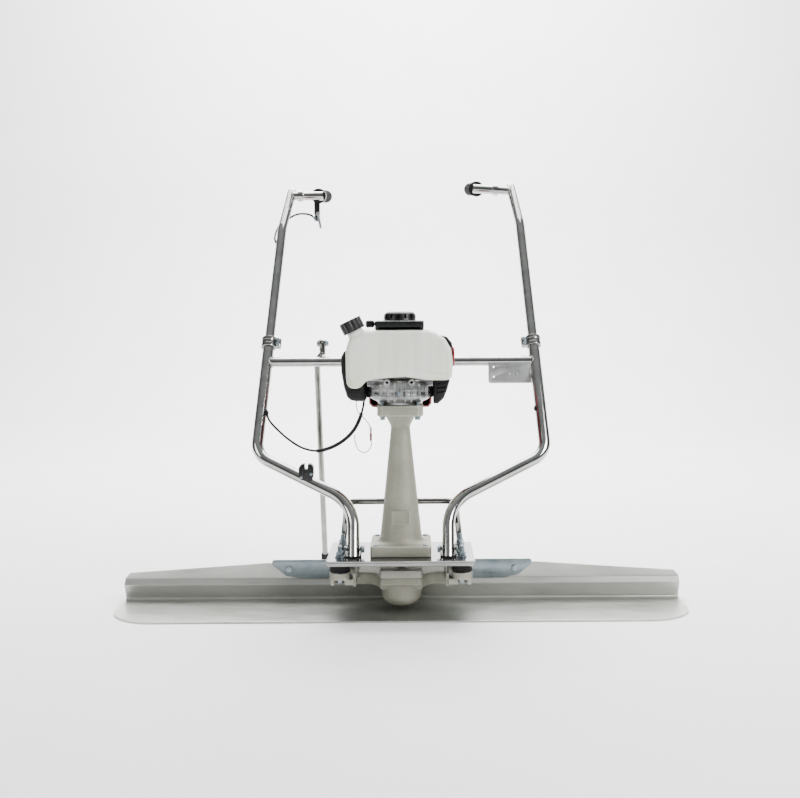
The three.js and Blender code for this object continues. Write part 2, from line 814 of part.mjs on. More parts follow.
// ---------------------------------------------------------------- engine: crankshaft with shoes and flywheel
const shoeLow = DRUM_LOW_Z + DRUM_WALL + 4;
const shoeHigh = drumTop - 4;
const flywheelLow = CASE_TOP_Z + 6;
const flywheelHigh = flywheelLow + FLYWHEEL_THICK;
const webLow = BORE_Z - 18;
const webHigh = BORE_Z + 18;
add(
  "crankshaft",
  turned(
    [
      [0, shoeLow],
      [DRUM_R - DRUM_WALL - 2, shoeLow],
      [DRUM_R - DRUM_WALL - 2, shoeHigh],
      [CRANK_R, shoeHigh],
      [CRANK_R, webLow],
      [CRANK_WEB_R, webLow],
      [CRANK_WEB_R, webHigh],
      [CRANK_R, webHigh],
      [CRANK_R, flywheelLow],
      [FLYWHEEL_R, flywheelLow],
      [FLYWHEEL_R, flywheelHigh],
      [12, flywheelHigh],
      [12, flywheelHigh + 12],
      [0, flywheelHigh + 12],
    ],
    28,
  ),
  ...STEEL,
);

// ---------------------------------------------------------------- engine: crankcase and cylinder
const bellLow = COLUMN_TOP_Z + CLEAR;
const bellRoof = drumTop + 4;
const caseBack = 46;
const caseFront = -40;
let crankcase = joined(
  turned(
    [
      [0, bellLow],
      [46, bellLow],
      [50, bellLow + 6],
      [BELL_R - 3, bellLow + 12],
      [BELL_R, bellLow + 17],
      [BELL_R, BELL_TOP_Z - 9],
      [BELL_R - 4, BELL_TOP_Z],
      [0, BELL_TOP_Z],
    ],
    40,
  ),
  prism(roundedSquare(CASE_HALF, 5, CASE_HALF), BELL_TOP_Z - 1, CASE_TOP_Z),
  box(-CASE_HALF, CASE_HALF, 0, caseBack, BELL_TOP_Z - 1, CASE_TOP_Z),
  box(-BELL_R - 4, -BELL_R + 14, -34, -4, BELL_TOP_Z - 13, BELL_TOP_Z),
  box(BELL_R - 14, BELL_R + 4, -34, -4, BELL_TOP_Z - 13, BELL_TOP_Z),
  box(-4, 4, -BELL_R - 2.5, -BELL_R + 8, bellLow + 20, BELL_TOP_Z),
);
for (const x of [-26, 24]) {
  crankcase = crankcase.add(rod(6.4, at(x, -BELL_R - 3, BELL_TOP_Z - 3), at(x, -40, BELL_TOP_Z - 3), 18));
  crankcase = cut(
    crankcase,
    bore(3, at(x, -BELL_R - 4, BELL_TOP_Z - 3), at(x, -BELL_R + 14, BELL_TOP_Z - 3), 14),
  );
}
crankcase = cut(
  crankcase,
  bore(BELL_BORE_R, at(0, 0, bellLow - 1), at(0, 0, bellRoof), 36),
  bore(CRANK_R + FIT, at(0, 0, bellLow), at(0, 0, CASE_TOP_Z + 1), 24),
  bore(CRANK_WEB_R + 3, at(0, 0, webLow - 3), at(0, 0, webHigh + 3), 28),
  bore(17, at(0, 0, BORE_Z), at(0, caseBack + 1, BORE_Z), 24),
  ...headHoles.map(([x, y]) => bore(3.4, at(x, y, bellLow - 1), at(x, y, bellLow + 14), 12)),
);
add("crankcase", crankcase, 0xb4b6b8, 0.42, 0.85);

const cylinderStart = caseBack + CLEAR;
const finStart = cylinderStart + 8;
const cylinderProfile = [
  [17, cylinderStart],
  [CYLINDER_R, cylinderStart],
];
for (let i = 0; i < FIN_COUNT; i += 1) {
  const z = finStart + i * FIN_PITCH;
  cylinderProfile.push([CYLINDER_R, z], [FIN_R, z], [FIN_R, z + 3], [CYLINDER_R, z + 3]);
}
const headEnd = finStart + FIN_COUNT * FIN_PITCH + 6;
cylinderProfile.push(
  [CYLINDER_R, headEnd],
  [4.2, headEnd],
  [4.2, headEnd - 6],
  [17, headEnd - 10],
);
add(
  "cylinder_block",
  placed(turned(cylinderProfile, 24), at(0, 0, BORE_Z), at(0, 1, 0)),
  0xa6a8a8,
  0.5,
  0.8,
);

// ---------------------------------------------------------------- engine: covers
const coverFront = 50;
const coverBack = 140;
const redOutline = [
  [-60, 422],
  [60, 422],
  [66, 430],
  [68, 500],
  [110, 505],
  [116, 512],
  [116, 546],
  [108, 558],
  [62, 587],
  [-60, 587],
  [-68, 570],
  [-68, 430],
];
add(
  "engine_cover",
  cut(
    prismY(redOutline, coverFront, coverBack, 8),
    prismY(inset(redOutline, COVER_WALL + 1), coverFront + 8, coverBack - COVER_WALL - 1, 5),
    prismY(inset(redOutline, 8 + COVER_WALL), coverFront - 1, coverFront + 30),
    bore(13, at(0, coverBack - 20, BORE_Z), at(0, coverBack + 1, BORE_Z), 24),
  ),
  ...RED,
);
add(
  "spark_plug_cap",
  joined(
    rod(10, at(0, headEnd + CLEAR, BORE_Z), at(0, 144, BORE_Z), 20),
    rod(7, at(0, 143, BORE_Z), at(0, 148, BORE_Z), 16),
  ),
  ...RUBBER,
);

const airOutline = [
  [-BELL_R - 8, 441],
  [-BELL_R - 8, 552],
  [-BELL_R - 40, 552],
  [-BELL_R - 53, 544],
  [-BELL_R - 58.8, 531],
  [-BELL_R - 58, 502],
  [-BELL_R - 53, 472],
  [-BELL_R - 46.5, 450],
  [-BELL_R - 38, 443],
  [-BELL_R - 28, 441],
];
const airInner = inset(airOutline, COVER_WALL).map(([x, z]) => [x > -78 ? x + 10 : x, z]);
add(
  "air_cleaner_cover",
  cut(prismY(airOutline, -20, 60, 6), prismY(airInner, -20 + COVER_WALL, 60 - COVER_WALL, 4)),
  ...PLASTIC,
);
const guardOutline = [
  [BELL_R + 5, 437],
  [BELL_R + 14, 436.5],
  [BELL_R + 26, 447],
  [BELL_R + 33, 464],
  [BELL_R + 38, 481],
  [BELL_R + 40, 500],
  [BELL_R + 40, 548],
  [BELL_R + 5, 548],
];
const guardInner = inset(guardOutline, COVER_WALL).map(([x, z]) => [x < 74 ? x - 10 : x, z]);
add(
  "muffler_guard",
  cut(prismY(guardOutline, -35, 46, 5), prismY(guardInner, -35 + COVER_WALL, 46 - COVER_WALL, 3)),
  ...PLASTIC,
);

// ---------------------------------------------------------------- engine: recoil starter hood and its pull
const hoodLow = CASE_TOP_Z + CLEAR;
const hoodFront = -74;
const hoodBack = 48;
const skirtFront = TANK_BACK_Y + 3;
const tankTop = 589;
let hood = joined(
  prism(
    [
      [HOOD_HALF, hoodFront + 6],
      [HOOD_HALF, hoodBack],
      [-HOOD_HALF, hoodBack],
      [-HOOD_HALF, hoodFront + 6],
      [-HOOD_HALF + 6, hoodFront],
      [HOOD_HALF - 6, hoodFront],
    ],
    tankTop + 6,
    HOOD_TOP_Z,
  ),
  box(-HOOD_HALF, -HOOD_HALF + 7, hoodFront + 4, skirtFront, tankTop + 1.5, tankTop + 7),
  box(HOOD_HALF - 7, HOOD_HALF, hoodFront + 4, skirtFront, tankTop + 1.5, tankTop + 7),
  prism(
    [
      [HOOD_HALF, skirtFront],
      [HOOD_HALF, hoodBack],
      [-HOOD_HALF, hoodBack],
      [-HOOD_HALF, skirtFront],
    ],
    hoodLow,
    HOOD_TOP_Z - 2,
  ),
  turned(
    [
      [0, HOOD_TOP_Z - 1],
      [DOME_R, HOOD_TOP_Z - 1],
      [DOME_R, DOME_TOP_Z - 8],
      [DOME_R - 3, DOME_TOP_Z - 3],
      [DOME_R - 9, DOME_TOP_Z],
      [0, DOME_TOP_Z],
    ],
    32,
  ),
);
const pulleyRoof = DOME_TOP_Z - 4;
hood = cut(
  hood,
  box(-HOOD_HALF + 3, HOOD_HALF - 3, skirtFront + 3, hoodBack - 3, hoodLow - 1, HOOD_TOP_Z - 4),
  bore(DOME_R - 4, at(0, 0, HOOD_TOP_Z - 5), at(0, 0, pulleyRoof), 28),
);
add("starter_hood", hood, ...PLASTIC);
add(
  "starter_grip",
  joined(
    prismY(roundedSquare(8.5, 3, 7.2).map(([x, z]) => [x - 61.5, z + 601.5]), -32, 2, 2.5),
    rod(3, at(-HOOD_HALF - CLEAR - 3, -15, 601.5), at(-HOOD_HALF - CLEAR, -15, 601.5), 12),
  ),
  ...PLASTIC,
);

// ---------------------------------------------------------------- engine: fuel tank and filler cap
const tankOutline = [
  [-109, 548],
  [-108.5, 507],
  [-107, 481],
  [-101, 473],
  [-88, 471.5],
  [-78.5, 475],
  [-70, 485],
  [-60, 489],
  [-25, 493],
  [12, 495],
  [34, 491.5],
  [60, 488],
  [97, 488],
  [106, 494],
  [107.5, 524],
  [104, 550],
  [92, 571],
  [73, 584],
  [58, tankTop],
  [-62, tankTop],
  [-72, 589.5],
  [-101, 574],
];
const capAngle = (CAP_TILT * Math.PI) / 180;
const capWay = at(-Math.sin(capAngle), 0, Math.cos(capAngle));
const capCentre = at(CAP_X, CAP_Y, CAP_Z);
const capLow = capCentre.clone().addScaledVector(capWay, -CAP_HEIGHT / 2);
const fillerTop = capLow.clone().addScaledVector(capWay, CAP_HEIGHT - 7);
const fillerRoot = capLow.clone().addScaledVector(capWay, -20);
const fillerBore = capLow.clone().addScaledVector(capWay, -24);
add(
  "fuel_tank",
  cut(
    prismY(tankOutline, TANK_FRONT_Y, TANK_BACK_Y, TANK_ROUND).add(rod(FILLER_R, fillerRoot, fillerTop, 24)),
    prismY(inset(tankOutline, TANK_WALL), TANK_FRONT_Y + TANK_WALL, TANK_BACK_Y - TANK_WALL, TANK_ROUND - 2),
    bore(FILLER_R - 3, fillerBore, fillerTop.clone().addScaledVector(capWay, 2), 24),
  ),
  ...MILKY,
);
add(
  "fuel_cap",
  placed(
    turned(
      [
        [roomy(FILLER_R + CLEAR, 32), 0],
        [CAP_R - 1.5, 0],
        [CAP_R, 2],
        [CAP_R, CAP_HEIGHT - 4],
        [CAP_R - 4, CAP_HEIGHT],
        [0, CAP_HEIGHT],
        [0, CAP_HEIGHT - 6],
        [roomy(FILLER_R + CLEAR, 32), CAP_HEIGHT - 6],
      ],
      32,
    ),
    capLow,
    capWay,
  ),
  ...PLASTIC,
);

// ---------------------------------------------------------------- engine: carburettor, primer and choke
const carbLeft = -104;
const carbRight = -74;
const carbFront = 62;
const carbBack = 96;
const primerY = 79;
const primerZ = 503;
const primerR = 9;
const PRIMER_TRAVEL = 4;
add(
  "carburettor",
  cut(
    joined(
      box(carbLeft, carbRight, carbFront, carbBack, 490, 530),
      rod(11, at(carbRight - 1, 79, 512), at(-68 - CLEAR, 79, 512), 20),
    ),
    bore(
      primerR + CLEAR,
      at(carbLeft - 1, primerY, primerZ),
      at(carbLeft + PRIMER_TRAVEL + 2, primerY, primerZ),
      20,
    ),
  ),
  ...MILL,
);
add(
  "primer_bulb",
  placed(
    turned(
      [
        [0, 0],
        [primerR, 0],
        [primerR, 5],
        [primerR - 2, 8],
        [primerR - 5, 10],
        [0, 10.5],
      ],
      20,
    ),
    at(carbLeft + 1.2, primerY, primerZ),
    at(-1, 0, 0),
  ),
  0x332b2b,
  0.6,
  0,
);
add(
  "choke_lever",
  joined(
    rod(6, at(-86, carbBack + CLEAR, 518), at(-86, carbBack + 5, 518), 18),
    prismY(
      [
        [-88, 514],
        [-84, 522],
        [-108, 532],
        [-112, 530],
        [-111, 525],
      ],
      carbBack + 1.5,
      carbBack + 4.5,
    ),
  ),
  ...PLASTIC,
);

// ---------------------------------------------------------------- handle frame: lower tubes, crossbar, feet
const frameY = (z) => PIVOT_Y + LEAN * (z - PIVOT_Z);
const uprightX = (z) => UPPER_BEND_X - INWARD * (z - UPPER_BEND_Z);
const lowerCorners = (s) => [
  [at(s * PIVOT_X, frameY(PIVOT_Z - 22), PIVOT_Z - 22), 0],
  [at(s * LOWER_BEND_X, frameY(LOWER_BEND_Z), LOWER_BEND_Z), LOWER_BEND_R],
  [at(s * UPPER_BEND_X, frameY(UPPER_BEND_Z), UPPER_BEND_Z), UPPER_BEND_R],
  [at(s * uprightX(TUBE_END_Z), frameY(TUBE_END_Z), TUBE_END_Z), 0],
];
const uprightWay = (s) => at(-s * INWARD, LEAN, 1).normalize();
const onUpright = (s, z) => at(s * uprightX(z), frameY(z), z);
const FOOT_SHEET = 3;
const FOOT_BASE_TOP = PLATE_TOP_Z + CLEAR + FOOT_SHEET;
const PIN_R = 4;

// The throttle cable runs from its anchor under the left grip, round behind the upper tube and into its side,
// down inside the tubes, and out of the lower tube to the carburettor. It is parted inside the tubes, below the
// upper tube's end, so that the tube can slide.
const CABLE_R = 2.5;
// A point near the left grip, from the left elbow: inwards, backwards and up.
const byElbow = (inward, back, up) => at(-ELBOW_X + inward, ELBOW_Y + back, ELBOW_Z + up);
const anchorIn = byElbow(63, 20, -59);
const anchorOut = byElbow(53.5, 20, -50);
const cableIn = at(-300.5, 327, 798);
const cableOut = at(-293.5, 98, 408.3);
function cord(points, steps, radius, sides) {
  return swept(new THREE.CatmullRomCurve3(points, false, "centripetal"), steps, radius, sides);
}
const upperCable = [
  anchorOut.clone().addScaledVector(anchorOut.clone().sub(anchorIn).normalize(), 1),
  byElbow(45, 19, -45),
  byElbow(28, 9, -43),
  byElbow(13, -5, -46.5),
  byElbow(0, -15, -54),
  at(-284, 389, 848),
  at(-294, 379, 838),
  at(-299.5, 364, 826),
  at(-302, 346, 812),
  cableIn,
  at(-292, 316, 784),
  at(-284.5, 304, 766),
  onUpright(-1, 740),
  onUpright(-1, 660),
  onUpright(-1, 580),
  onUpright(-1, UPPER_START_Z + 4),
];
const carbInlet = at(-81, 76.5, 490 - 1.2);
const lowerCable = [
  onUpright(-1, 425),
  at(-300, 104.5, 414.5),
  cableOut,
  at(-285.5, 93, 391.2),
  at(-265.5, 90, 369.8),
  at(-240.3, 88, 348.4),
  at(-212.9, 86, 332.5),
  at(-182.3, 84, 326.4),
  at(-151.8, 82, 333.7),
  at(-123.5, 80, 349.8),
  at(-101.8, 78, 371.7),
  at(-87.6, 77, 399.9),
  at(-80, 76, 430),
  at(-80, 76, 460),
  carbInlet,
];
for (const [side, s] of [
  ["left", -1],
  ["right", 1],
]) {
  let tube = cut(
    bentTube(lowerCorners(s), TUBE_R, TUBE_WALL),
    box(s * PIVOT_X - 60, s * PIVOT_X + 60, PIVOT_Y - 60, PIVOT_Y + 60, 0, FOOT_BASE_TOP + CLEAR),
    bore(PIN_R + FIT, at(s * PIVOT_X - 30, PIVOT_Y, PIVOT_Z), at(s * PIVOT_X + 30, PIVOT_Y, PIVOT_Z), 16),
  );
  if (s < 0) tube = cut(tube, cord(lowerCable, 36, CABLE_R + 2 * FIT, 8));
  add(`handle_tube_${side}`, tube, ...CHROME);
}

const barY = frameY(BAR_Z);
const barX = uprightX(BAR_Z);
const earPlan = [
  ...arc(STAND_Y, STAND_Z, 10, 0, 180, 8),
  [STAND_Y - 10, BAR_Z + 20],
  [barY - 8, BAR_Z + 4],
  [barY + 8, BAR_Z + 4],
  [STAND_Y + 10, BAR_Z + 20],
];
const bar = cut(
  rod(BAR_R, at(-barX, barY, BAR_Z), at(barX, barY, BAR_Z), 20).add(
    cut(
      prismX(earPlan, EAR_X - EAR_THICK / 2, EAR_X + EAR_THICK / 2),
      bore(STAND_BOLT_R + FIT, at(EAR_X - 20, STAND_Y, STAND_Z), at(EAR_X + 20, STAND_Y, STAND_Z), 16),
    ),
  ),
  bore(BAR_R - BAR_WALL, at(-barX - 1, barY, BAR_Z), at(barX + 1, barY, BAR_Z), 20),
  ...[-1, 1].map((s) => bore(TUBE_R + CLEAR, onUpright(s, BAR_Z - 60), onUpright(s, BAR_Z + 60), 24)),
);
add("cross_bar", bar, ...CHROME);

for (const [side, s] of [
  ["left", -1],
  ["right", 1],
]) {
  const low = PLATE_TOP_Z + CLEAR;
  const x = s * PIVOT_X;
  const gap = TUBE_R + 3 * CLEAR;
  const ear = [
    [PIVOT_Y - 13, low],
    [PIVOT_Y + 13, low],
    [PIVOT_Y + 13, PIVOT_Z - 6],
    ...arc(PIVOT_Y, PIVOT_Z, 9, 0, 180, 8),
    [PIVOT_Y - 13, PIVOT_Z - 6],
  ];
  add(
    `base_bracket_${side}`,
    cut(
      joined(
        box(x - gap - FOOT_SHEET, x + gap + FOOT_SHEET, PIVOT_Y - 13, PIVOT_Y + 13, low, low + FOOT_SHEET),
        prismX(ear, x - gap - FOOT_SHEET, x - gap),
        prismX(ear, x + gap, x + gap + FOOT_SHEET),
      ),
      bore(PIN_R + FIT, at(x - 30, PIVOT_Y, PIVOT_Z), at(x + 30, PIVOT_Y, PIVOT_Z), 16),
    ),
    ...BRIGHT,
  );
  const inner = x - s * (gap + FOOT_SHEET + CLEAR);
  const outer = x + s * (gap + FOOT_SHEET + CLEAR);
  add(
    `base_bolt_${side}`,
    joined(
      placed(prism(hexagon(13), 0, 6), at(inner, PIVOT_Y, PIVOT_Z), at(-s, 0, 0)),
      placed(prism(hexagon(13), 0, 3), at(outer, PIVOT_Y, PIVOT_Z), at(s, 0, 0)),
      rod(PIN_R, at(inner - s, PIVOT_Y, PIVOT_Z), at(outer + s * 3, PIVOT_Y, PIVOT_Z), 16),
    ),
    ...ZINC,
  );
}

// rear stay: one bent rod with its ends flattened and bolted down under the rear mount nuts
const STAY_Y = 46;
const STAY_Z = 223;
const STAY_HALF = 115;
const STAY_BACK = 19;
const stayEndZ = PLATE_TOP_Z + CLEAR;
const stay = bentTube(
  [
    [at(-MOUNT_X, MOUNT_REAR_Y + STAY_BACK, stayEndZ + 12), 0],
    [at(-STAY_HALF, STAY_Y, STAY_Z), 20],
    [at(STAY_HALF, STAY_Y, STAY_Z), 20],
    [at(MOUNT_X, MOUNT_REAR_Y + STAY_BACK, stayEndZ + 12), 0],
  ],
  STAY_R,
  0,
  8,
);
const stayTongue = (s) =>
  cut(
    joined(
      box(
        s * MOUNT_X - 9,
        s * MOUNT_X + 9,
        MOUNT_REAR_Y - 9,
        MOUNT_REAR_Y + STAY_BACK + 5,
        stayEndZ,
        stayEndZ + 4.7,
      ),
      prismX(
        [
          [MOUNT_REAR_Y + STAY_BACK - 5, stayEndZ + 4],
          [MOUNT_REAR_Y + STAY_BACK + 5, stayEndZ + 4],
          [MOUNT_REAR_Y + STAY_BACK + 6, stayEndZ + 16],
          [MOUNT_REAR_Y + STAY_BACK - 6, stayEndZ + 16],
        ],
        s * MOUNT_X - 7,
        s * MOUNT_X + 7,
      ),
    ),
    bore(STUD_R + FIT, at(s * MOUNT_X, MOUNT_REAR_Y, stayEndZ - 1), at(s * MOUNT_X, MOUNT_REAR_Y, 150), 16),
  );
const stayNutRoom = (s) =>
  bore(10.5 + CLEAR, at(s * MOUNT_X, MOUNT_REAR_Y, stayEndZ + 4.7), at(s * MOUNT_X, MOUNT_REAR_Y, 175), 24);
add(
  "rear_stay",
  cut(joined(stay, stayTongue(-1), stayTongue(1)), stayNutRoom(-1), stayNutRoom(1)),
  ...CHROME,
);

// plain plate welded under the crossbar
const ID_LEFT = 194;
const ID_THICK = 2.5;
const idFront = barY - BAR_R - CLEAR - ID_THICK;
add(
  "id_plate",
  cut(
    prismY(
      [
        ...arc(ID_LEFT + 6, 472, 6, 180, 270, 3),
        [barX - 8, 466],
        [barX - 8, 510],
        [ID_LEFT, 510],
      ],
      idFront,
      idFront + ID_THICK,
    ),
    bore(TUBE_R + CLEAR, onUpright(1, 440), onUpright(1, 540), 24),
    bore(2, at(ID_LEFT + 12, idFront - 1, 480), at(ID_LEFT + 12, idFront + 4, 480), 12),
  ),
  ...ZINC,
);

// forked clip on the left sloping tube
const clipT = 0.475;
const clipX = -(LOWER_BEND_X + (UPPER_BEND_X - LOWER_BEND_X) * clipT);
const clipTubeZ = LOWER_BEND_Z + (UPPER_BEND_Z - LOWER_BEND_Z) * clipT;
const clipY = frameY(clipTubeZ) - 6;
const clipLow = clipTubeZ + 9;
const clipTop = clipTubeZ + 37;
const slopeFrom = at(-LOWER_BEND_X, frameY(LOWER_BEND_Z), LOWER_BEND_Z);
const slopeTo = at(-UPPER_BEND_X, frameY(UPPER_BEND_Z), UPPER_BEND_Z);
add(
  "tube_clip",
  cut(
    prismY(
      [
        [clipX - 12, clipLow - 6],
        [clipX + 12, clipLow - 6],
        [clipX + 15.3, clipLow + 2],
        [clipX + 15.3, clipTop - 7],
        [clipX + 11, clipTop - 1.5],
        [clipX + 3.4, clipTop],
        [clipX + 3.4, clipTop - 12],
        [clipX - 3.4, clipTop - 12],
        [clipX - 3.4, clipTop],
        [clipX - 11, clipTop - 1.5],
        [clipX - 15.3, clipTop - 7],
        [clipX - 15.3, clipLow + 2],
      ],
      clipY - 10,
      clipY + 10,
    ),
    bore(TUBE_R + CLEAR, slopeFrom, slopeTo, 28),
  ),
  ...PLASTIC,
);

// ---------------------------------------------------------------- kick stand
const legTopX = EAR_X - EAR_THICK / 2 - CLEAR - 6;
const legTurn = at(legTopX + 3, STAND_Y, STAND_Z);
const ferruleWay = at(0, STAND_FOOT_Y - STAND_Y, -STAND_Z).normalize();
const ferruleDrop = FERRULE_R * Math.hypot(ferruleWay.x, ferruleWay.y);
const legLength = (STAND_Z - ferruleDrop - 0.3) / -ferruleWay.z;
const legEnd = at(legTopX + 3, STAND_Y, STAND_Z).addScaledVector(ferruleWay, legLength);
const alongLeg = (d, x) => at(x, STAND_Y + ferruleWay.y * d, STAND_Z + ferruleWay.z * d);
const legPath = [
  [alongLeg(26, legTopX + 2.5), 0],
  [alongLeg(44, STAND_ROD_X), 12],
  [alongLeg(legLength - 6, STAND_ROD_X), 0],
];
const legStart = at(0, ferruleWay.y, ferruleWay.z);
const legSide = at(0, -ferruleWay.z, ferruleWay.y);
const tonguePoints = [];
for (const [d, w] of [
  [34, 6],
  [20, 8],
]) {
  tonguePoints.push([
    STAND_Y + legStart.y * d + legSide.y * w,
    STAND_Z + legStart.z * d + legSide.z * w,
  ]);
}
const legAngle = (Math.atan2(legSide.z, legSide.y) * 180) / Math.PI;
tonguePoints.push(...arc(STAND_Y, STAND_Z, 10, legAngle, legAngle + 180, 8));
for (const [d, w] of [
  [20, -8],
  [34, -6],
]) {
  tonguePoints.push([
    STAND_Y + legStart.y * d + legSide.y * w,
    STAND_Z + legStart.z * d + legSide.z * w,
  ]);
}
add(
  "stand_leg",
  cut(
    joined(prismX(tonguePoints, legTopX, legTopX + 6), bentTube(legPath, STAND_ROD_R, 0, 8)),
    bore(STAND_BOLT_R + FIT, at(legTopX - 9, STAND_Y, STAND_Z), at(legTopX + 9, STAND_Y, STAND_Z), 16),
  ),
  ...CHROME,
);
const ferruleEnd = alongLeg(legLength, STAND_ROD_X);
add(
  "stand_foot",
  placed(
    turned(
      [
        [0, 0],
        [FERRULE_R - 1, 0],
        [FERRULE_R, 1.5],
        [FERRULE_R, 8],
        [FERRULE_R - 2, FERRULE_LENGTH],
        [roomy(STAND_ROD_R + CLEAR, 24), FERRULE_LENGTH],
        [roomy(STAND_ROD_R + CLEAR, 24), 5.5],
        [0, 5.5],
      ],
      24,
    ),
    ferruleEnd,
    ferruleWay.clone().negate(),
  ),
  ...RUBBER,
);
const boltLeft = legTopX - CLEAR;
const boltRight = EAR_X + EAR_THICK / 2 + CLEAR;
add(
  "stand_bolt",
  joined(
    placed(prism(hexagon(13), 0, 6), at(boltLeft, STAND_Y, STAND_Z), at(-1, 0, 0)),
    placed(prism(hexagon(13), 0, 5), at(boltRight, STAND_Y, STAND_Z), at(1, 0, 0)),
    rod(STAND_BOLT_R, at(boltLeft - 1, STAND_Y, STAND_Z), at(boltRight + 7, STAND_Y, STAND_Z), 16),
  ),
  ...ZINC,
);

// ---------------------------------------------------------------- clamps and upper tubes
const drawnOut = (s, point) => point.addScaledVector(uprightWay(s), s > 0 ? RIGHT_EXTRA : 0);
const kink = (s) => drawnOut(s, onUpright(s, KINK_Z));
const elbow = (s) => drawnOut(s, at(s * ELBOW_X, ELBOW_Y, ELBOW_Z));
const topWay = (s) => elbow(s).sub(kink(s)).normalize();
const crossRise = { [-1]: 0, [1]: 0.07 };
const crossWay = (s) => at(-s, 0.02, crossRise[s]).normalize();
const alongCross = (s, d) => elbow(s).addScaledVector(crossWay(s), d);
const collarAt = { [-1]: LEFT_COLLAR, [1]: RIGHT_COLLAR };

for (const [side, s] of [
  ["left", -1],
  ["right", 1],
]) {
  const way = uprightWay(s);
  const middle = onUpright(s, TUBE_END_Z).addScaledVector(way, -CLAMP_HEIGHT / 2 + 8);
  const low = middle.clone().addScaledVector(way, -CLAMP_HEIGHT / 2);
  const high = middle.clone().addScaledVector(way, CLAMP_HEIGHT / 2);
  const tubeEnd = onUpright(s, TUBE_END_Z);
  const inward = at(-s, 0, 0).addScaledVector(way, -at(-s, 0, 0).dot(way)).normalize();
  const across = new THREE.Vector3().crossVectors(way, inward);
  const basis = new THREE.Matrix4().makeBasis(inward, across, way).setPosition(middle);
  const lug = box(TUBE_R, TUBE_R + 15, -6.5, 6.5, -CLAMP_HEIGHT / 2 + 2, CLAMP_HEIGHT / 2 - 2);
  const slit = box(UPPER_TUBE_R, TUBE_R + 20, -1.2, 1.2, -CLAMP_HEIGHT, CLAMP_HEIGHT);
  const screw = rod(2.6, at(TUBE_R + 8, -12, 0), at(TUBE_R + 8, 12, 0), 14);
  const body = joined(rod(CLAMP_R, low, high, 28), lug.transform(basis.elements));
  add(
    `tube_clamp_${side}`,
    cut(
      body,
      bore(TUBE_R + CLEAR, low.clone().addScaledVector(way, -2), tubeEnd.clone().addScaledVector(way, CLEAR), 28),
      bore(UPPER_TUBE_R + CLEAR, low, high.clone().addScaledVector(way, 2), 28),
      slit.transform(basis.elements),
    ).add(screw.transform(basis.elements)),
    ...BRIGHT,
  );
}
for (const [side, s] of [
  ["left", -1],
  ["right", 1],
]) {
  const start = drawnOut(s, onUpright(s, UPPER_START_Z));
  const top = elbow(s).addScaledVector(topWay(s), TOP_REACH);
  const roundEnd = turned(
    [
      [0, -1],
      [UPPER_TUBE_R, -1],
      [UPPER_TUBE_R, 0],
      [0.9 * UPPER_TUBE_R, 0.45 * UPPER_TUBE_R],
      [0.6 * UPPER_TUBE_R, 0.8 * UPPER_TUBE_R],
      [0, 0.95 * UPPER_TUBE_R],
    ],
    24,
  );
  let tube = cut(
    joined(
      bentTube(
        [
          [start, 0],
          [kink(s), KINK_R],
          [top, 0],
        ],
        UPPER_TUBE_R,
        UPPER_TUBE_WALL,
      ),
      placed(roundEnd, top, topWay(s)),
      rod(UPPER_TUBE_R, elbow(s), alongCross(s, collarAt[s] - 1), 24),
      rod(CROSS_STUB_R, elbow(s), alongCross(s, collarAt[s] + 42), 20),
    ),
    rod(UPPER_TUBE_R - 3, elbow(s).addScaledVector(topWay(s), -22), top.clone().addScaledVector(topWay(s), -4), 24),
    bore(CROSS_STUB_R - 1.4, elbow(s), alongCross(s, collarAt[s] + 43), 20),
  );
  if (s < 0) tube = cut(tube, cord(upperCable, 40, CABLE_R + 2 * FIT, 8));
  add(`upper_tube_${side}`, tube, ...CHROME);
}

// ---------------------------------------------------------------- grip arms, grips and throttle
const sleeveBore = CROSS_STUB_R + CLEAR;
const coreWay = { [-1]: at(0.078, 0.993, 0.087).normalize(), [1]: at(-0.1, 0.99, 0.095).normalize() };
const coreDistance = (s) => collarAt[s] + SLEEVE_LENGTH - (s < 0 ? 14 : 11);
const coreRoot = (s) => alongCross(s, coreDistance(s));
for (const [side, s] of [
  ["left", -1],
  ["right", 1],
]) {
  const sleeveEnd = collarAt[s] + SLEEVE_LENGTH;
  const root = coreRoot(s);
  const gripFrom = s < 0 ? 27 : 15;
  const gripTo = gripFrom + GRIP_LENGTH;
  const core = root.clone().addScaledVector(coreWay[s], gripTo - 6);
  add(
    `grip_arm_${side}`,
    cut(
      joined(
        rod(SLEEVE_R, alongCross(s, collarAt[s]), alongCross(s, sleeveEnd), 24),
        rod(COLLAR_R, alongCross(s, collarAt[s]), alongCross(s, collarAt[s] + COLLAR_WIDTH), 24),
        cut(
          rod(GRIP_CORE_R, root, core, 20),
          bore(GRIP_CORE_R - 1.5, root, core.clone().addScaledVector(coreWay[s], 2), 20),
        ),
      ),
      bore(sleeveBore, alongCross(s, collarAt[s] - 1), alongCross(s, sleeveEnd - 3), 24),
    ),
    ...CHROME,
  );
  const grip = turned(
    [
      [roomy(GRIP_CORE_R + CLEAR, 24), 0],
      [s < 0 ? 18 : 19, 0],
      [s < 0 ? 18 : 19, 4],
      [GRIP_R, 8],
      [GRIP_R, GRIP_LENGTH - 4],
      [GRIP_R - 4, GRIP_LENGTH],
      [0, GRIP_LENGTH],
      [0, GRIP_LENGTH - 5],
      [roomy(GRIP_CORE_R + CLEAR, 24), GRIP_LENGTH - 5],
    ],
    24,
  );
  add(`grip_${side}`, placed(grip, root.clone().addScaledVector(coreWay[s], gripFrom), coreWay[s]), ...RUBBER);
}
const throttleRoot = coreRoot(-1).addScaledVector(coreWay[-1], 13);
const throttleEnd = coreRoot(-1).addScaledVector(coreWay[-1], 27 - CLEAR);
const throttleAt = byElbow(62, 21, -45);
const leverPivot = byElbow(65, 13.6, -43);
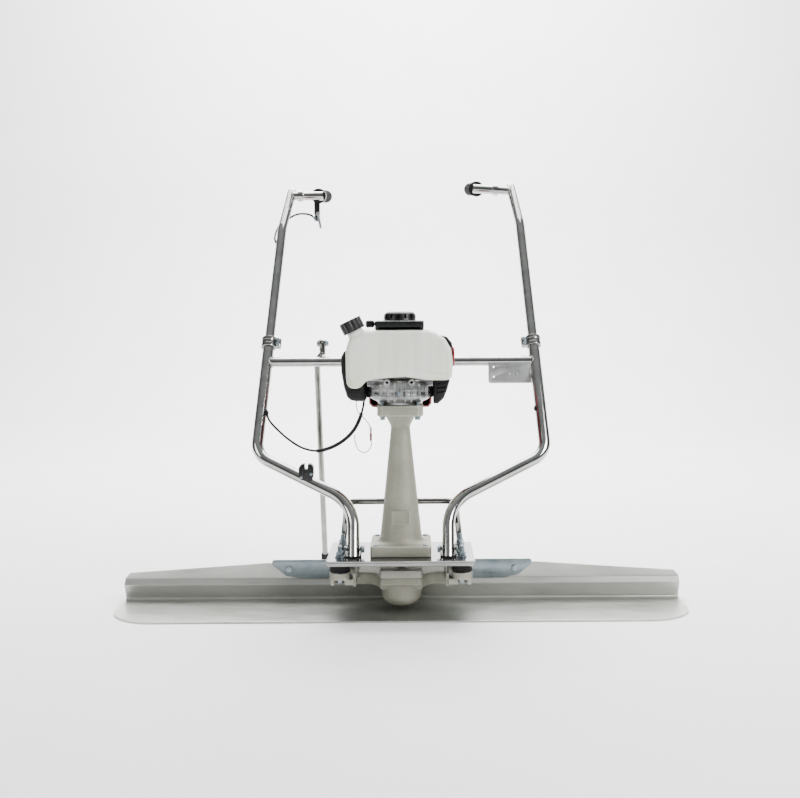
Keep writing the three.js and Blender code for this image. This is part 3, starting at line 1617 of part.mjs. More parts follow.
add(
  "throttle_body",
  cut(
    joined(
      rod(18.5, throttleRoot, throttleEnd, 28),
      box(throttleAt.x - 7, throttleAt.x + 7, throttleAt.y - 4.5, throttleAt.y + 4.5, throttleAt.z, throttleAt.z + 33),
      box(throttleAt.x - 5, throttleAt.x + 4, throttleAt.y - 4, throttleAt.y + 2, throttleAt.z - 16, throttleAt.z + 2),
      rod(4.4, anchorIn, anchorOut, 16),
    ),
    bore(
      GRIP_CORE_R + CLEAR,
      coreRoot(-1),
      coreRoot(-1).addScaledVector(coreWay[-1], 60),
      24,
    ),
  ),
  ...PLASTIC,
);
add(
  "throttle_lever",
  joined(
    rod(5.5, at(leverPivot.x, leverPivot.y - 2.4, leverPivot.z), at(leverPivot.x, leverPivot.y + 2.3, leverPivot.z), 18),
    prismY(
      [
        [leverPivot.x - 3, leverPivot.z],
        [leverPivot.x + 3, leverPivot.z],
        [leverPivot.x + 7.8, leverPivot.z - 31],
        [leverPivot.x + 4, leverPivot.z - 33],
      ],
      leverPivot.y - 2,
      leverPivot.y + 2,
    ),
    rod(3, at(leverPivot.x + 6, leverPivot.y - 3.1, leverPivot.z - 33), at(leverPivot.x + 6, leverPivot.y + 2.4, leverPivot.z - 33), 14),
  ),
  ...BRIGHT,
);

// ---------------------------------------------------------------- throttle cable and stop wire
add("throttle_cable_upper", cord(upperCable, 40, CABLE_R, 8), ...PLASTIC);

add("throttle_cable_lower", cord(lowerCable, 36, CABLE_R, 8), ...PLASTIC);

const wireRun = [
  at(-91, 72, 490 - 0.8),
  at(-94, 68, 470),
  at(-94.6, 66, 440),
  at(-95.7, 65, 428.8),
  at(-92.5, 64, 413.7),
  at(-83.9, 62, 404),
  at(-73.2, 62, 392.3),
  at(-66.5, 62, 381),
  at(-64.6, 62, 370),
  at(-64.4, 62, 352),
  at(-63.6, 62, 341),
  at(-68.9, 63, 330),
  at(-80.7, 64, 324.7),
  at(-92.5, 66, 332.2),
  at(-98.9, 68, 349.4),
  at(-99.5, 71, 362),
];
const connector = rod(2.6, at(-64.6, 62, 379), at(-64.5, 62, 350), 12);
add("stop_wire", cord(wireRun, 40, 1, 6).add(connector), 0x55524e, 0.6, 0);

export default group;
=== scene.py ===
import math

import bmesh
import bpy
from mathutils import Matrix, Vector


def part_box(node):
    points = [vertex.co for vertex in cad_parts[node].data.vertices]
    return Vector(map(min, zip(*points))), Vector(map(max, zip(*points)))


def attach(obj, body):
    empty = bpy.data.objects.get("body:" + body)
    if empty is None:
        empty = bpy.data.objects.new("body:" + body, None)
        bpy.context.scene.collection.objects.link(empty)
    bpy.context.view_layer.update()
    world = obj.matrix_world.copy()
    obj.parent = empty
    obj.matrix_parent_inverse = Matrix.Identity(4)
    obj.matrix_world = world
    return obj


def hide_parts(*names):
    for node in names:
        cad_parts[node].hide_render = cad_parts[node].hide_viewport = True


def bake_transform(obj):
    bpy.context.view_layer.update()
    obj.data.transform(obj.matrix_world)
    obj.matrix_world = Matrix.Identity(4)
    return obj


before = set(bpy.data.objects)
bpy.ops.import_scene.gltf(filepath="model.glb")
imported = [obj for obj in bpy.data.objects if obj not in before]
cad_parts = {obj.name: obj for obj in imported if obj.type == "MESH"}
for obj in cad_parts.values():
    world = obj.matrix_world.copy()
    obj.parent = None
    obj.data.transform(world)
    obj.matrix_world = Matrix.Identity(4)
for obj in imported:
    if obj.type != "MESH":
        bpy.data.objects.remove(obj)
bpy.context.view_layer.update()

# ---------------------------------------------------------------- studio
# A pale floor that curves up into a pale wall behind the machine, as a studio's paper sweep does. Two large
# soft lights stand in front, one hangs overhead and a fourth washes the wall. The room is darker low down
# than high up.
scene = bpy.context.scene
EYE_X, EYE_Y, EYE_Z = 0.034, -2.361, 0.632
LENS = 50.85
SIDE_SHIFT = -0.02
DOWN_SHIFT = -0.1125
ROLL = math.radians(0.35)

eye = bpy.data.objects.new("camera", bpy.data.cameras.new("camera"))
eye.data.lens = LENS
eye.data.sensor_width = 36
eye.data.shift_x = SIDE_SHIFT
eye.data.shift_y = DOWN_SHIFT
eye.data.clip_end = 60
eye.location = (EYE_X, EYE_Y, EYE_Z)
eye.rotation_euler = (math.radians(90), ROLL, 0)
scene.collection.objects.link(eye)
scene.camera = eye

room = bpy.data.worlds.new("room")
scene.world = room
room.use_nodes = True
sky = room.node_tree.nodes
wires = room.node_tree.links
place = sky.new("ShaderNodeTexCoord")
parts = sky.new("ShaderNodeSeparateXYZ")
fade = sky.new("ShaderNodeValToRGB")
wires.new(place.outputs["Generated"], parts.inputs[0])
wires.new(parts.outputs["Z"], fade.inputs["Fac"])
wires.new(fade.outputs["Color"], sky["Background"].inputs["Color"])
fade.color_ramp.elements[0].color = (0.20, 0.20, 0.20, 1)
fade.color_ramp.elements[0].position = 0.02
fade.color_ramp.elements[1].color = (0.75, 0.76, 0.77, 1)
fade.color_ramp.elements[1].position = 0.95
middle_band = fade.color_ramp.elements.new(0.45)
middle_band.color = (0.30, 0.30, 0.31, 1)
sky["Background"].inputs["Strength"].default_value = 0.7

for name, spot, aim, size, watts in [
    ("key", (2.4, -1.9, 2.3), (0, 0, 0.4), 1.3, 150),
    ("fill", (-2.7, -1.9, 1.8), (0, 0, 0.3), 1.2, 34),
    ("overhead", (0.2, 0.9, 3.2), (0, 0.4, 0.3), 2.4, 95),
    ("wall_wash", (0, 2.2, 3.6), (0, 4.2, 0.4), 3.4, 620),
]:
    lamp = bpy.data.objects.new(name, bpy.data.lights.new(name, "AREA"))
    lamp.data.shape = "SQUARE"
    lamp.data.size = size
    lamp.data.energy = watts
    lamp.location = spot
    lamp.rotation_euler = (Vector(aim) - Vector(spot)).to_track_quat("-Z", "Y").to_euler()
    scene.collection.objects.link(lamp)


# Shader helpers for every finish: a noise over the piece's own place, a mix of two colours, a rescaled value
# and a relief that adds to the one before it.
def begin_finish(name):
    stuff = bpy.data.materials.new(name)
    stuff.use_nodes = True
    return stuff, stuff.node_tree.nodes["Principled BSDF"]


def speckle(stuff, scale, detail=3.0, stretch=(1, 1, 1), rough=0.55):
    nodes, links = stuff.node_tree.nodes, stuff.node_tree.links
    where = nodes.new("ShaderNodeTexCoord")
    squeeze = nodes.new("ShaderNodeMapping")
    squeeze.inputs["Scale"].default_value = stretch
    noise = nodes.new("ShaderNodeTexNoise")
    noise.inputs["Scale"].default_value = scale
    noise.inputs["Detail"].default_value = detail
    noise.inputs["Roughness"].default_value = rough
    links.new(where.outputs["Object"], squeeze.inputs["Vector"])
    links.new(squeeze.outputs["Vector"], noise.inputs["Vector"])
    return noise.outputs["Fac"]


def tone(stuff, amount, first, second, low=0.35, high=0.65):
    ramp = stuff.node_tree.nodes.new("ShaderNodeValToRGB")
    ramp.color_ramp.elements[0].color = (*first, 1)
    ramp.color_ramp.elements[1].color = (*second, 1)
    ramp.color_ramp.elements[0].position = low
    ramp.color_ramp.elements[1].position = high
    stuff.node_tree.links.new(amount, ramp.inputs["Fac"])
    return ramp.outputs["Color"]


def mixed(stuff, amount, first, second, way="MIX"):
    mix = stuff.node_tree.nodes.new("ShaderNodeMix")
    mix.data_type = "RGBA"
    mix.blend_type = way
    links = stuff.node_tree.links
    colour_a = [s for s in mix.inputs if s.name == "A" and s.type == "RGBA"][0]
    colour_b = [s for s in mix.inputs if s.name == "B" and s.type == "RGBA"][0]
    factor = [s for s in mix.inputs if s.name == "Factor" and s.type == "VALUE"][0]
    for socket, value in ((factor, amount), (colour_a, first), (colour_b, second)):
        if isinstance(value, bpy.types.NodeSocket):
            links.new(value, socket)
        else:
            socket.default_value = value if socket is factor else (*value, 1)
    return [s for s in mix.outputs if s.type == "RGBA"][0]


def rescaled(stuff, amount, low, high, start=0.3, end=0.7):
    span = stuff.node_tree.nodes.new("ShaderNodeMapRange")
    span.inputs["From Min"].default_value = start
    span.inputs["From Max"].default_value = end
    span.inputs["To Min"].default_value = low
    span.inputs["To Max"].default_value = high
    stuff.node_tree.links.new(amount, span.inputs["Value"])
    return span.outputs["Result"]


def relief(stuff, skin, height, strength, distance):
    bump = stuff.node_tree.nodes.new("ShaderNodeBump")
    bump.inputs["Strength"].default_value = strength
    bump.inputs["Distance"].default_value = distance
    links = stuff.node_tree.links
    before = skin.inputs["Normal"].links
    if before:
        links.new(before[0].from_socket, bump.inputs["Normal"])
    links.new(height, bump.inputs["Height"])
    links.new(bump.outputs["Normal"], skin.inputs["Normal"])


def fed(stuff, socket, value):
    stuff.node_tree.links.new(value, socket)


paper, paper_skin = begin_finish("sweep_paper")
fed(paper, paper_skin.inputs["Base Color"], tone(paper, speckle(paper, 3.0), (0.90, 0.90, 0.90),
    (0.93, 0.93, 0.93)))
fed(paper, paper_skin.inputs["Roughness"], rescaled(paper, speckle(paper, 40.0), 0.75, 0.9))
SWEEP_HALF = 6.0
SWEEP_FRONT = -6.0
SWEEP_BACK = 4.2
SWEEP_RISE = 1.2
sweep = bmesh.new()
sweep_line = [(SWEEP_FRONT, 0.0), (SWEEP_BACK - SWEEP_RISE, 0.0)]
for step in range(1, 13):
    angle = math.radians(step * 7.5)
    sweep_line.append((SWEEP_BACK - SWEEP_RISE + SWEEP_RISE * math.sin(angle),
                       SWEEP_RISE * (1 - math.cos(angle))))
sweep_line.append((SWEEP_BACK, 4.0))
edge_left = [sweep.verts.new((-SWEEP_HALF, y, z - 0.0005)) for y, z in sweep_line]
edge_right = [sweep.verts.new((SWEEP_HALF, y, z - 0.0005)) for y, z in sweep_line]
for i in range(len(sweep_line) - 1):
    sweep.faces.new((edge_left[i], edge_right[i], edge_right[i + 1], edge_left[i + 1]))
sweep_mesh = bpy.data.meshes.new("floor_sweep")
sweep.to_mesh(sweep_mesh)
sweep.free()
sweep_mesh.shade_smooth()
sweep_mesh.materials.append(paper)
floor = bpy.data.objects.new("floor_sweep", sweep_mesh)
scene.collection.objects.link(floor)

# ---------------------------------------------------------------- blade
# The screed blade is one length of extruded aluminium: a flat sole with a thin lip in front, a hollow rib
# behind it and an upright flange along the rib's top. The front corners are sawn round, the flange's ends
# taper.
MM = 0.001


def size_of(node):
    low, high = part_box(node)
    return [v / MM for v in low], [v / MM for v in high]


# Outlines are given as corners with a fillet radius each, and come back as a closed run of points.
def filleted(corners, step=10):
    points = []
    count = len(corners)
    for i, (u, v, radius) in enumerate(corners):
        here = Vector((u, v))
        if radius <= 0:
            points.append((u, v))
            continue
        back = Vector(corners[i - 1][:2]) - here
        ahead = Vector(corners[(i + 1) % count][:2]) - here
        turn = math.pi - back.angle(ahead)
        if turn < 1e-3:
            points.append((u, v))
            continue
        reach = radius * math.tan(turn / 2)
        limit = 0.49 * min(back.length, ahead.length)
        if reach > limit:
            radius *= limit / reach
            reach = limit
        start = here + back.normalized() * reach
        end = here + ahead.normalized() * reach
        centre = here + (back.normalized() + ahead.normalized()).normalized() * (radius / math.cos(turn / 2))
        a0 = math.atan2(start.y - centre.y, start.x - centre.x)
        a1 = math.atan2(end.y - centre.y, end.x - centre.x)
        sweep_angle = (a1 - a0 + math.pi) % (2 * math.pi) - math.pi
        steps = max(2, round(abs(math.degrees(sweep_angle)) / step))
        for k in range(steps + 1):
            a = a0 + sweep_angle * k / steps
            points.append((centre.x + radius * math.cos(a), centre.y + radius * math.sin(a)))
    return points


def as_shape(bm):
    bmesh.ops.remove_doubles(bm, verts=bm.verts, dist=1e-4)
    bmesh.ops.recalc_face_normals(bm, faces=bm.faces)
    mesh = bpy.data.meshes.new("shape")
    bm.to_mesh(mesh)
    bm.free()
    shape = bpy.data.objects.new("shape", mesh)
    scene.collection.objects.link(shape)
    return shape


def on_axis(axis, u, v, w):
    return {"X": (w, u, v), "Y": (u, w, v), "Z": (u, v, w)}[axis]


# A flat outline given thickness along one axis.
def slab(outline, low, high, axis="Z"):
    bm = bmesh.new()
    rings = [[bm.verts.new(on_axis(axis, u, v, w)) for u, v in outline] for w in (low, high)]
    count = len(outline)
    for i in range(count):
        j = (i + 1) % count
        bm.faces.new((rings[0][i], rings[0][j], rings[1][j], rings[1][i]))
    bm.faces.new(rings[0])
    bm.faces.new(list(reversed(rings[1])))
    return as_shape(bm)


def settled(shape):
    made = bpy.data.meshes.new_from_object(shape.evaluated_get(bpy.context.evaluated_depsgraph_get()))
    shape.modifiers.clear()
    old = shape.data
    shape.data = made
    bpy.data.meshes.remove(old)
    return shape


def worked(shape, tools, how):
    for tool in tools:
        step = shape.modifiers.new("work", "BOOLEAN")
        step.operation = how
        step.solver = "MANIFOLD"
        step.object = tool
    settled(shape)
    for tool in tools:
        mesh = tool.data
        bpy.data.objects.remove(tool)
        bpy.data.meshes.remove(mesh)
    return shape


def fused(shape, *more):
    return worked(shape, more, "UNION")


def carved(shape, *tools):
    return worked(shape, tools, "DIFFERENCE")


def within(shape, *limits):
    return worked(shape, limits, "INTERSECT")


def eased(shape, width, segments=2, angle=35):
    step = shape.modifiers.new("edge", "BEVEL")
    step.width = width
    step.segments = segments
    step.limit_method = "ANGLE"
    step.angle_limit = math.radians(angle)
    step.use_clamp_overlap = True
    return settled(shape)


# Names the shape, turns millimetres into metres, gives it its finish and its body and hides the parts it
# stands for.
def piece(name, shape, stuff, body, stands_for=(), sharp=35):
    shape.name = name
    shape.data.name = name
    shape.data.transform(Matrix.Scale(MM, 4))
    shape.data.shade_smooth()
    shape.data.set_sharp_from_angle(angle=math.radians(sharp))
    shape.data.materials.clear()
    shape.data.materials.append(stuff)
    if body:
        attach(shape, body)
    if stands_for:
        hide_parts(*stands_for)
    return shape


mill, mill_skin = begin_finish("mill_aluminium")
mill_cloud = speckle(mill, 9.0, 4.0, (0.5, 1, 1))
mill_draw = speckle(mill, 900.0, 2.0, (0.012, 1, 1))
mill_mark = speckle(mill, 60.0, 5.0, (0.25, 1, 1), 0.7)
mill_base = tone(mill, mill_cloud, (0.41, 0.42, 0.39), (0.51, 0.515, 0.48), 0.3, 0.7)
mill_stain = rescaled(mill, mill_mark, 0.0, 0.35, 0.60, 0.78)
fed(mill, mill_skin.inputs["Base Color"], mixed(mill, mill_stain, mill_base, (0.27, 0.275, 0.26)))
mill_skin.inputs["Metallic"].default_value = 0.9
fed(mill, mill_skin.inputs["Roughness"], rescaled(mill, mill_mark, 0.30, 0.44))
relief(mill, mill_skin, mill_draw, 0.10, 0.0002)
relief(mill, mill_skin, mill_mark, 0.05, 0.0004)

blade_low, blade_high = size_of("blade_profile")
BLADE_WALL = 3.6
TOE = blade_low[1]
HEEL = blade_high[1]
BLADE_END = blade_high[0]
FLANGE_TOP = blade_high[2]
FLANGE_FRONT = TOE + 173
FLANGE_BACK = FLANGE_FRONT + 4
RIB_FOOT = TOE + 181
RIB_EDGE = (TOE + 164, 39)
ROOT = 50
TOE_ROUND = 97
LEVEL_HALF = 290
blade_outline = filleted([
    (TOE, 0, 1.4), (HEEL, 0, 2.0), (HEEL, 7.2, 1.5), (FLANGE_BACK, ROOT + 4, 7.0),
    (FLANGE_BACK, FLANGE_TOP, 1.2), (FLANGE_FRONT, FLANGE_TOP, 1.2), (FLANGE_FRONT, ROOT, 4.0),
    (RIB_EDGE[0], RIB_EDGE[1], 3.2), (RIB_FOOT, BLADE_WALL, 5.0), (TOE, BLADE_WALL, 1.4),
], 15)
hollow = filleted([
    (RIB_FOOT + 6, BLADE_WALL + 0.6, 2), (HEEL - 6, BLADE_WALL + 0.6, 1.5),
    (FLANGE_BACK - 4.5, ROOT - 1.5, 4), (FLANGE_FRONT - 0.5, ROOT - 4.5, 2),
    (RIB_EDGE[0] + 4.3, RIB_EDGE[1] - 0.5, 2),
], 20)
plan = filleted([
    (-BLADE_END, HEEL + 5, 0), (-BLADE_END, TOE, TOE_ROUND), (BLADE_END, TOE, TOE_ROUND),
    (BLADE_END, HEEL + 5, 0),
], 3)
FLANGE_END_TOP = 63
tapers = []
for side in (-1, 1):
    corners = [
        (side * LEVEL_HALF, FLANGE_TOP, 0), (side * (BLADE_END - 10), FLANGE_END_TOP, 6),
        (side * (BLADE_END + 2), FLANGE_END_TOP - 14, 0), (side * (BLADE_END + 2), FLANGE_TOP + 2, 0),
        (side * LEVEL_HALF, FLANGE_TOP + 2, 0),
    ]
    tapers.append(slab(filleted(corners, 12), FLANGE_FRONT - 6, FLANGE_BACK + 3, "Y"))
blade = within(slab(blade_outline, -BLADE_END, BLADE_END, "X"), slab(plan, -1, FLANGE_TOP + 1))
blade = carved(blade, slab(hollow, -BLADE_END - 1, BLADE_END + 1, "X"), *tapers)
piece("blade", blade, mill, "machine", ["blade_profile"], 24)

# ---------------------------------------------------------------- blade bracket
# A long strip of blue zinc-plated sheet lies against the front of the flange and carries the exciter's pad.
# Its ends are cropped on the slope, and one bolt near each end clamps it to the flange.
zinc, zinc_skin = begin_finish("zinc_plate")
zinc_cloud = speckle(zinc, 22.0, 4.0)
zinc_grain = speckle(zinc, 420.0, 3.0)
zinc_streak = speckle(zinc, 90.0, 4.0, (0.2, 1, 1), 0.7)
zinc_base = tone(zinc, zinc_cloud, (0.20, 0.245, 0.275), (0.30, 0.345, 0.37), 0.32, 0.68)
fed(zinc, zinc_skin.inputs["Base Color"],
    mixed(zinc, rescaled(zinc, zinc_streak, 0.0, 0.4, 0.55, 0.75), zinc_base, (0.40, 0.43, 0.42)))
zinc_skin.inputs["Metallic"].default_value = 0.85
fed(zinc, zinc_skin.inputs["Roughness"], rescaled(zinc, zinc_streak, 0.26, 0.42))
relief(zinc, zinc_skin, zinc_grain, 0.08, 0.0003)

strip_low, strip_high = size_of("blade_bracket")
STRIP_HALF = strip_high[0]
strip = slab(filleted([
    (-STRIP_HALF, strip_high[2], 5), (-STRIP_HALF, strip_high[2] - 11, 6),
    (-STRIP_HALF + 30, strip_low[2] + 5, 8), (-STRIP_HALF + 60, strip_low[2], 8),
    (STRIP_HALF - 60, strip_low[2], 8), (STRIP_HALF - 30, strip_low[2] + 5, 8),
    (STRIP_HALF, strip_high[2] - 11, 6), (STRIP_HALF, strip_high[2], 5),
]), strip_low[1], strip_high[1], "Y")
piece("bracket_strip", eased(strip, 0.5), zinc, "machine", ["blade_bracket"])


# Round pieces are turned from a profile of radius and height, standing at a foot and pointing along a way.
def turned(profile, foot=(0, 0, 0), way=(0, 0, 1), sides=48):
    bm = bmesh.new()
    rings = []
    for radius, height in profile:
        if radius <= 1e-6:
            rings.append([bm.verts.new((0, 0, height))])
            continue
        rings.append([
            bm.verts.new((radius * math.cos(2 * math.pi * k / sides),
                          radius * math.sin(2 * math.pi * k / sides), height))
            for k in range(sides)
        ])
    pairs = list(zip(rings, rings[1:]))
    if len(rings[0]) > 1 and len(rings[-1]) > 1:
        pairs.append((rings[-1], rings[0]))
    for first, second in pairs:
        for k in range(sides):
            j = (k + 1) % sides
            loop = [first[k % len(first)], first[j % len(first)], second[j % len(second)],
                    second[k % len(second)]]
            unique = list(dict.fromkeys(loop))
            if len(unique) > 2:
                bm.faces.new(unique)
    return stood(as_shape(bm), foot, way)


def stood(shape, foot, way):
    turn = Vector((0, 0, 1)).rotation_difference(Vector(way).normalized()).to_matrix().to_4x4()
    shape.data.transform(Matrix.Translation(Vector(foot)) @ turn)
    return shape


# A plain round core, for cutting bores and holes.
def drilled(radius, low, high, foot=(0, 0, 0), way=(0, 0, 1), sides=48):
    return turned([(0, low), (radius, low), (radius, high), (0, high)], foot, way, sides)


# A disc with its two rims rounded.
def disc(radius, low, high, ease=0.6, hole=0.0, sides=48):
    start = [(hole, low)] if hole else [(0, low)]
    end = [(hole, high)] if hole else [(0, high)]
    k = 0.3 * ease
    return start + [(radius - ease, low), (radius - k, low + k), (radius, low + ease), (radius, high - ease),
                    (radius - k, high - k), (radius - ease, high)] + end


# A hexagon head or nut: its corners are chamfered as a bar-turned nut's are.
def hexagon(across, height, foot, way, spin=0.0, dome=0.0):
    reach = across / math.sqrt(3)
    outline = [(reach * math.cos(math.radians(60 * k + spin)), reach * math.sin(math.radians(60 * k + spin)))
               for k in range(6)]
    head = slab(outline, 0, height)
    chamfer = turned([(0, 0), (reach * 0.97, 0), (reach * 1.01, height * 0.12), (reach * 1.01, height * 0.80),
                      (across * 0.475, height), (0, height + dome)], sides=48)
    head = eased(within(head, chamfer), 0.25, 2, 40)
    return stood(head, foot, way)


# A run of thread on a bolt's end: fine V grooves, one under another.
def thread(radius, low, high, pitch, foot, way):
    profile = [(0, low), (radius - 0.5, low)]
    count = max(2, round((high - low) / pitch))
    for k in range(count):
        z = low + (high - low) * k / count
        profile += [(radius, z + 0.35 * pitch), (radius, z + 0.55 * pitch), (radius - 0.55, z + 0.95 * pitch)]
    profile += [(radius - 1.0, high), (0, high)]
    return turned(profile, foot, way, 28)


for side in ("left", "right"):
    low, high = size_of(f"bracket_bolt_{side}")
    bolt_x = (low[0] + high[0]) / 2
    bolt_z = (low[2] + high[2]) / 2
    front = low[1] + 6
    bolt = fused(
        turned(disc(8.0, 0, 1.4, 0.3), (bolt_x, front, bolt_z), (0, -1, 0)),
        hexagon(11.5, 4.6, (bolt_x, front - 1.3, bolt_z), (0, -1, 0), 12, 0.3),
        turned(disc(3.9, -1, high[1] - front - 3, 0.4), (bolt_x, front, bolt_z), (0, 1, 0)),
        hexagon(12.5, 5.6, (bolt_x, high[1] - 15, bolt_z), (0, 1, 0), 5),
        thread(3.9, 0, 8.5, 1.25, (bolt_x, high[1] - 9, bolt_z), (0, 1, 0)),
    )
    piece(f"bracket_clamp_bolt_{side}", bolt, zinc, "machine", [f"bracket_bolt_{side}"])

# ---------------------------------------------------------------- exciter
# A sand-cast aluminium housing with a domed cup that the eccentric weight spins in. Arms reach out to four
# sprung corners and back to the bracket strip; a square cover with the lower bearing closes the cup's top.
cast, cast_skin = begin_finish("cast_aluminium")
cast_cloud = speckle(cast, 14.0, 4.0)
cast_sand = speckle(cast, 620.0, 4.0, rough=0.7)
cast_pits = speckle(cast, 180.0, 5.0, rough=0.75)
cast_base = tone(cast, cast_cloud, (0.235, 0.232, 0.185), (0.31, 0.306, 0.25), 0.3, 0.7)
cast_dirt = mixed(cast, rescaled(cast, cast_pits, 0.0, 0.5, 0.58, 0.75), cast_base, (0.15, 0.147, 0.118))
cast_edge = cast.node_tree.nodes.new("ShaderNodeNewGeometry").outputs["Pointiness"]
fed(cast, cast_skin.inputs["Base Color"],
    mixed(cast, rescaled(cast, cast_edge, 0.0, 0.75, 0.505, 0.56), cast_dirt, (0.52, 0.52, 0.47)))
cast_skin.inputs["Metallic"].default_value = 0.55
fed(cast, cast_skin.inputs["Roughness"], rescaled(cast, cast_pits, 0.50, 0.68))
relief(cast, cast_skin, cast_sand, 0.35, 0.0006)
relief(cast, cast_skin, cast_pits, 0.20, 0.0008)


# A casting's skin: the rough shape is wrapped in one even mesh and relaxed, which rounds each inner and outer
# corner as a mould does.
def cast_skinned(shape, grid=1.6, relax=4):
    wrap = shape.modifiers.new("wrap", "REMESH")
    wrap.mode = "VOXEL"
    wrap.voxel_size = grid
    wrap.adaptivity = 0.0
    soften = shape.modifiers.new("soften", "SMOOTH")
    soften.factor = 0.5
    soften.iterations = relax
    return settled(shape)


def brick(x0, x1, y0, y1, z0, z1):
    return slab([(x0, y0), (x1, y0), (x1, y1), (x0, y1)], z0, z1)


def square(half, radius, half_y=None):
    half_y = half if half_y is None else half_y
    return filleted([(-half, -half_y, radius), (half, -half_y, radius), (half, half_y, radius),
                     (-half, half_y, radius)])


exciter_low, exciter_high = size_of("exciter_housing")
cover_low, cover_high = size_of("exciter_cover")
JOINT_Z = cover_low[2] - 0.3
SQUARE_HALF = cover_high[0]
PAD_BACK = exciter_high[1]
ARM_HALF = 98
CHEEK = 6
CUP_R = 21.5
CUP_TOP = exciter_high[2]
LEDGE_Z = 72
mount_spots = {}
for corner in ("front_left", "front_right", "rear_left", "rear_right"):
    low, high = size_of(f"rubber_mount_{corner}")
    mount_spots[corner] = ((low[0] + high[0]) / 2, (low[1] + high[1]) / 2)
FRONT_ROW = mount_spots["front_left"][1]
REAR_ROW = mount_spots["rear_left"][1]
SWEEP_R = ARM_HALF - CHEEK - SQUARE_HALF + 2
arm_plan = [(ARM_HALF, PAD_BACK), (-ARM_HALF, PAD_BACK), (-ARM_HALF, 20)]
for k in range(13):
    a = math.radians(90 - 7.5 * k)
    arm_plan.append((-SQUARE_HALF + 2 - SWEEP_R + SWEEP_R * math.cos(a),
                     20 - SWEEP_R + SWEEP_R * math.sin(a)))
for k in range(13):
    a = math.radians(180 - 7.5 * k)
    arm_plan.append((SQUARE_HALF - 2 + SWEEP_R + SWEEP_R * math.cos(a), 20 - SWEEP_R + SWEEP_R * math.sin(a)))
arm_plan.append((ARM_HALF, 20))
cup_profile = [(0, exciter_low[2]), (12, exciter_low[2] + 0.4), (22, exciter_low[2] + 1.6),
               (30, exciter_low[2] + 4.6), (36, exciter_low[2] + 9.5), (39.6, exciter_low[2] + 15),
               (41, exciter_low[2] + 21), (41, 66), (0, 66)]
rough_cast = [turned(cup_profile, sides=72), slab(square(SQUARE_HALF, 8), 65, JOINT_Z)]
for side in (-1, 1):
    inner, outer = sorted((side * (ARM_HALF - CHEEK), side * ARM_HALF))
    rough_cast.append(brick(inner, outer, FRONT_ROW - CUP_R + 11, REAR_ROW + CUP_R - 2, LEDGE_Z - 4,
                            CUP_TOP - 2))
    inner, outer = sorted((side * (ARM_HALF - 1), side * (abs(mount_spots["front_left"][0]) + 18)))
    for row in (FRONT_ROW, REAR_ROW):
        ledge = brick(inner, outer, row - CUP_R + 6, row + CUP_R - 2, LEDGE_Z, LEDGE_Z + 11.5)
        rough_cast.append(ledge)
        rough_cast.append(turned(disc(CUP_R, LEDGE_Z + 8, CUP_TOP, 1.0),
                                 (side * abs(mount_spots["front_left"][0]), row, 0)))
housing = fused(slab(arm_plan, 54, JOINT_Z - 0.5), *rough_cast)
housing = carved(
    housing,
    slab(square(SQUARE_HALF + 0.3, 4), JOINT_Z, 130),
    *[brick(x - 10.5, x + 10.5, y - CUP_R - 2, y + 9, LEDGE_Z - 3, LEDGE_Z + 10.5)
      for x, y in mount_spots.values()],
    drilled(34, 26, JOINT_Z + 1, sides=64),
)
piece("exciter_casting", cast_skinned(housing, 1.5, 4), cast, "machine", ["exciter_housing"],
      60)

cover = carved(slab(square(SQUARE_HALF, 8), JOINT_Z + 0.3, cover_high[2]),
               turned([(0, cover_low[2] - 1), (21.3, cover_low[2] - 1), (21.3, 92), (10.5, 92), (10.5, 99),
                       (0, 99)]))
piece("exciter_lid", eased(cover, 1.2, 3), cast, "machine", ["exciter_cover"])

machined, machined_skin = begin_finish("machined_steel")
machined_cloud = speckle(machined, 60.0, 4.0)
machined_turn = speckle(machined, 700.0, 2.0, (1, 1, 0.05))
fed(machined, machined_skin.inputs["Base Color"],
    tone(machined, machined_cloud, (0.40, 0.41, 0.42), (0.56, 0.57, 0.58)))
machined_skin.inputs["Metallic"].default_value = 1.0
fed(machined, machined_skin.inputs["Roughness"], rescaled(machined, machined_turn, 0.22, 0.38))
relief(machined, machined_skin, machined_turn, 0.1, 0.0002)


# A ball bearing: two rings, a shield between them and a groove each side of the shield.
def ball_bearing(name, node, bore_r):
    low, high = size_of(node)
    outer = high[0]
    z0, z1 = low[2], high[2]
    ring = turned([
        (bore_r, z0 + 0.6), (bore_r + 0.6, z0), (bore_r + 2.6, z0), (bore_r + 3.0, z0 + 0.8),
        (outer - 3.4, z0 + 0.8), (outer - 3.0, z0), (outer - 0.8, z0), (outer, z0 + 0.8),
        (outer, z1 - 0.8), (outer - 0.8, z1), (outer - 3.0, z1), (outer - 3.4, z1 - 0.8),
        (bore_r + 3.0, z1 - 0.8), (bore_r + 2.6, z1), (bore_r + 0.6, z1), (bore_r, z1 - 0.6),
    ])
    piece(name, ring, machined, "machine", [node])


ball_bearing("lower_ball_bearing", "bearing_lower", 7.8)

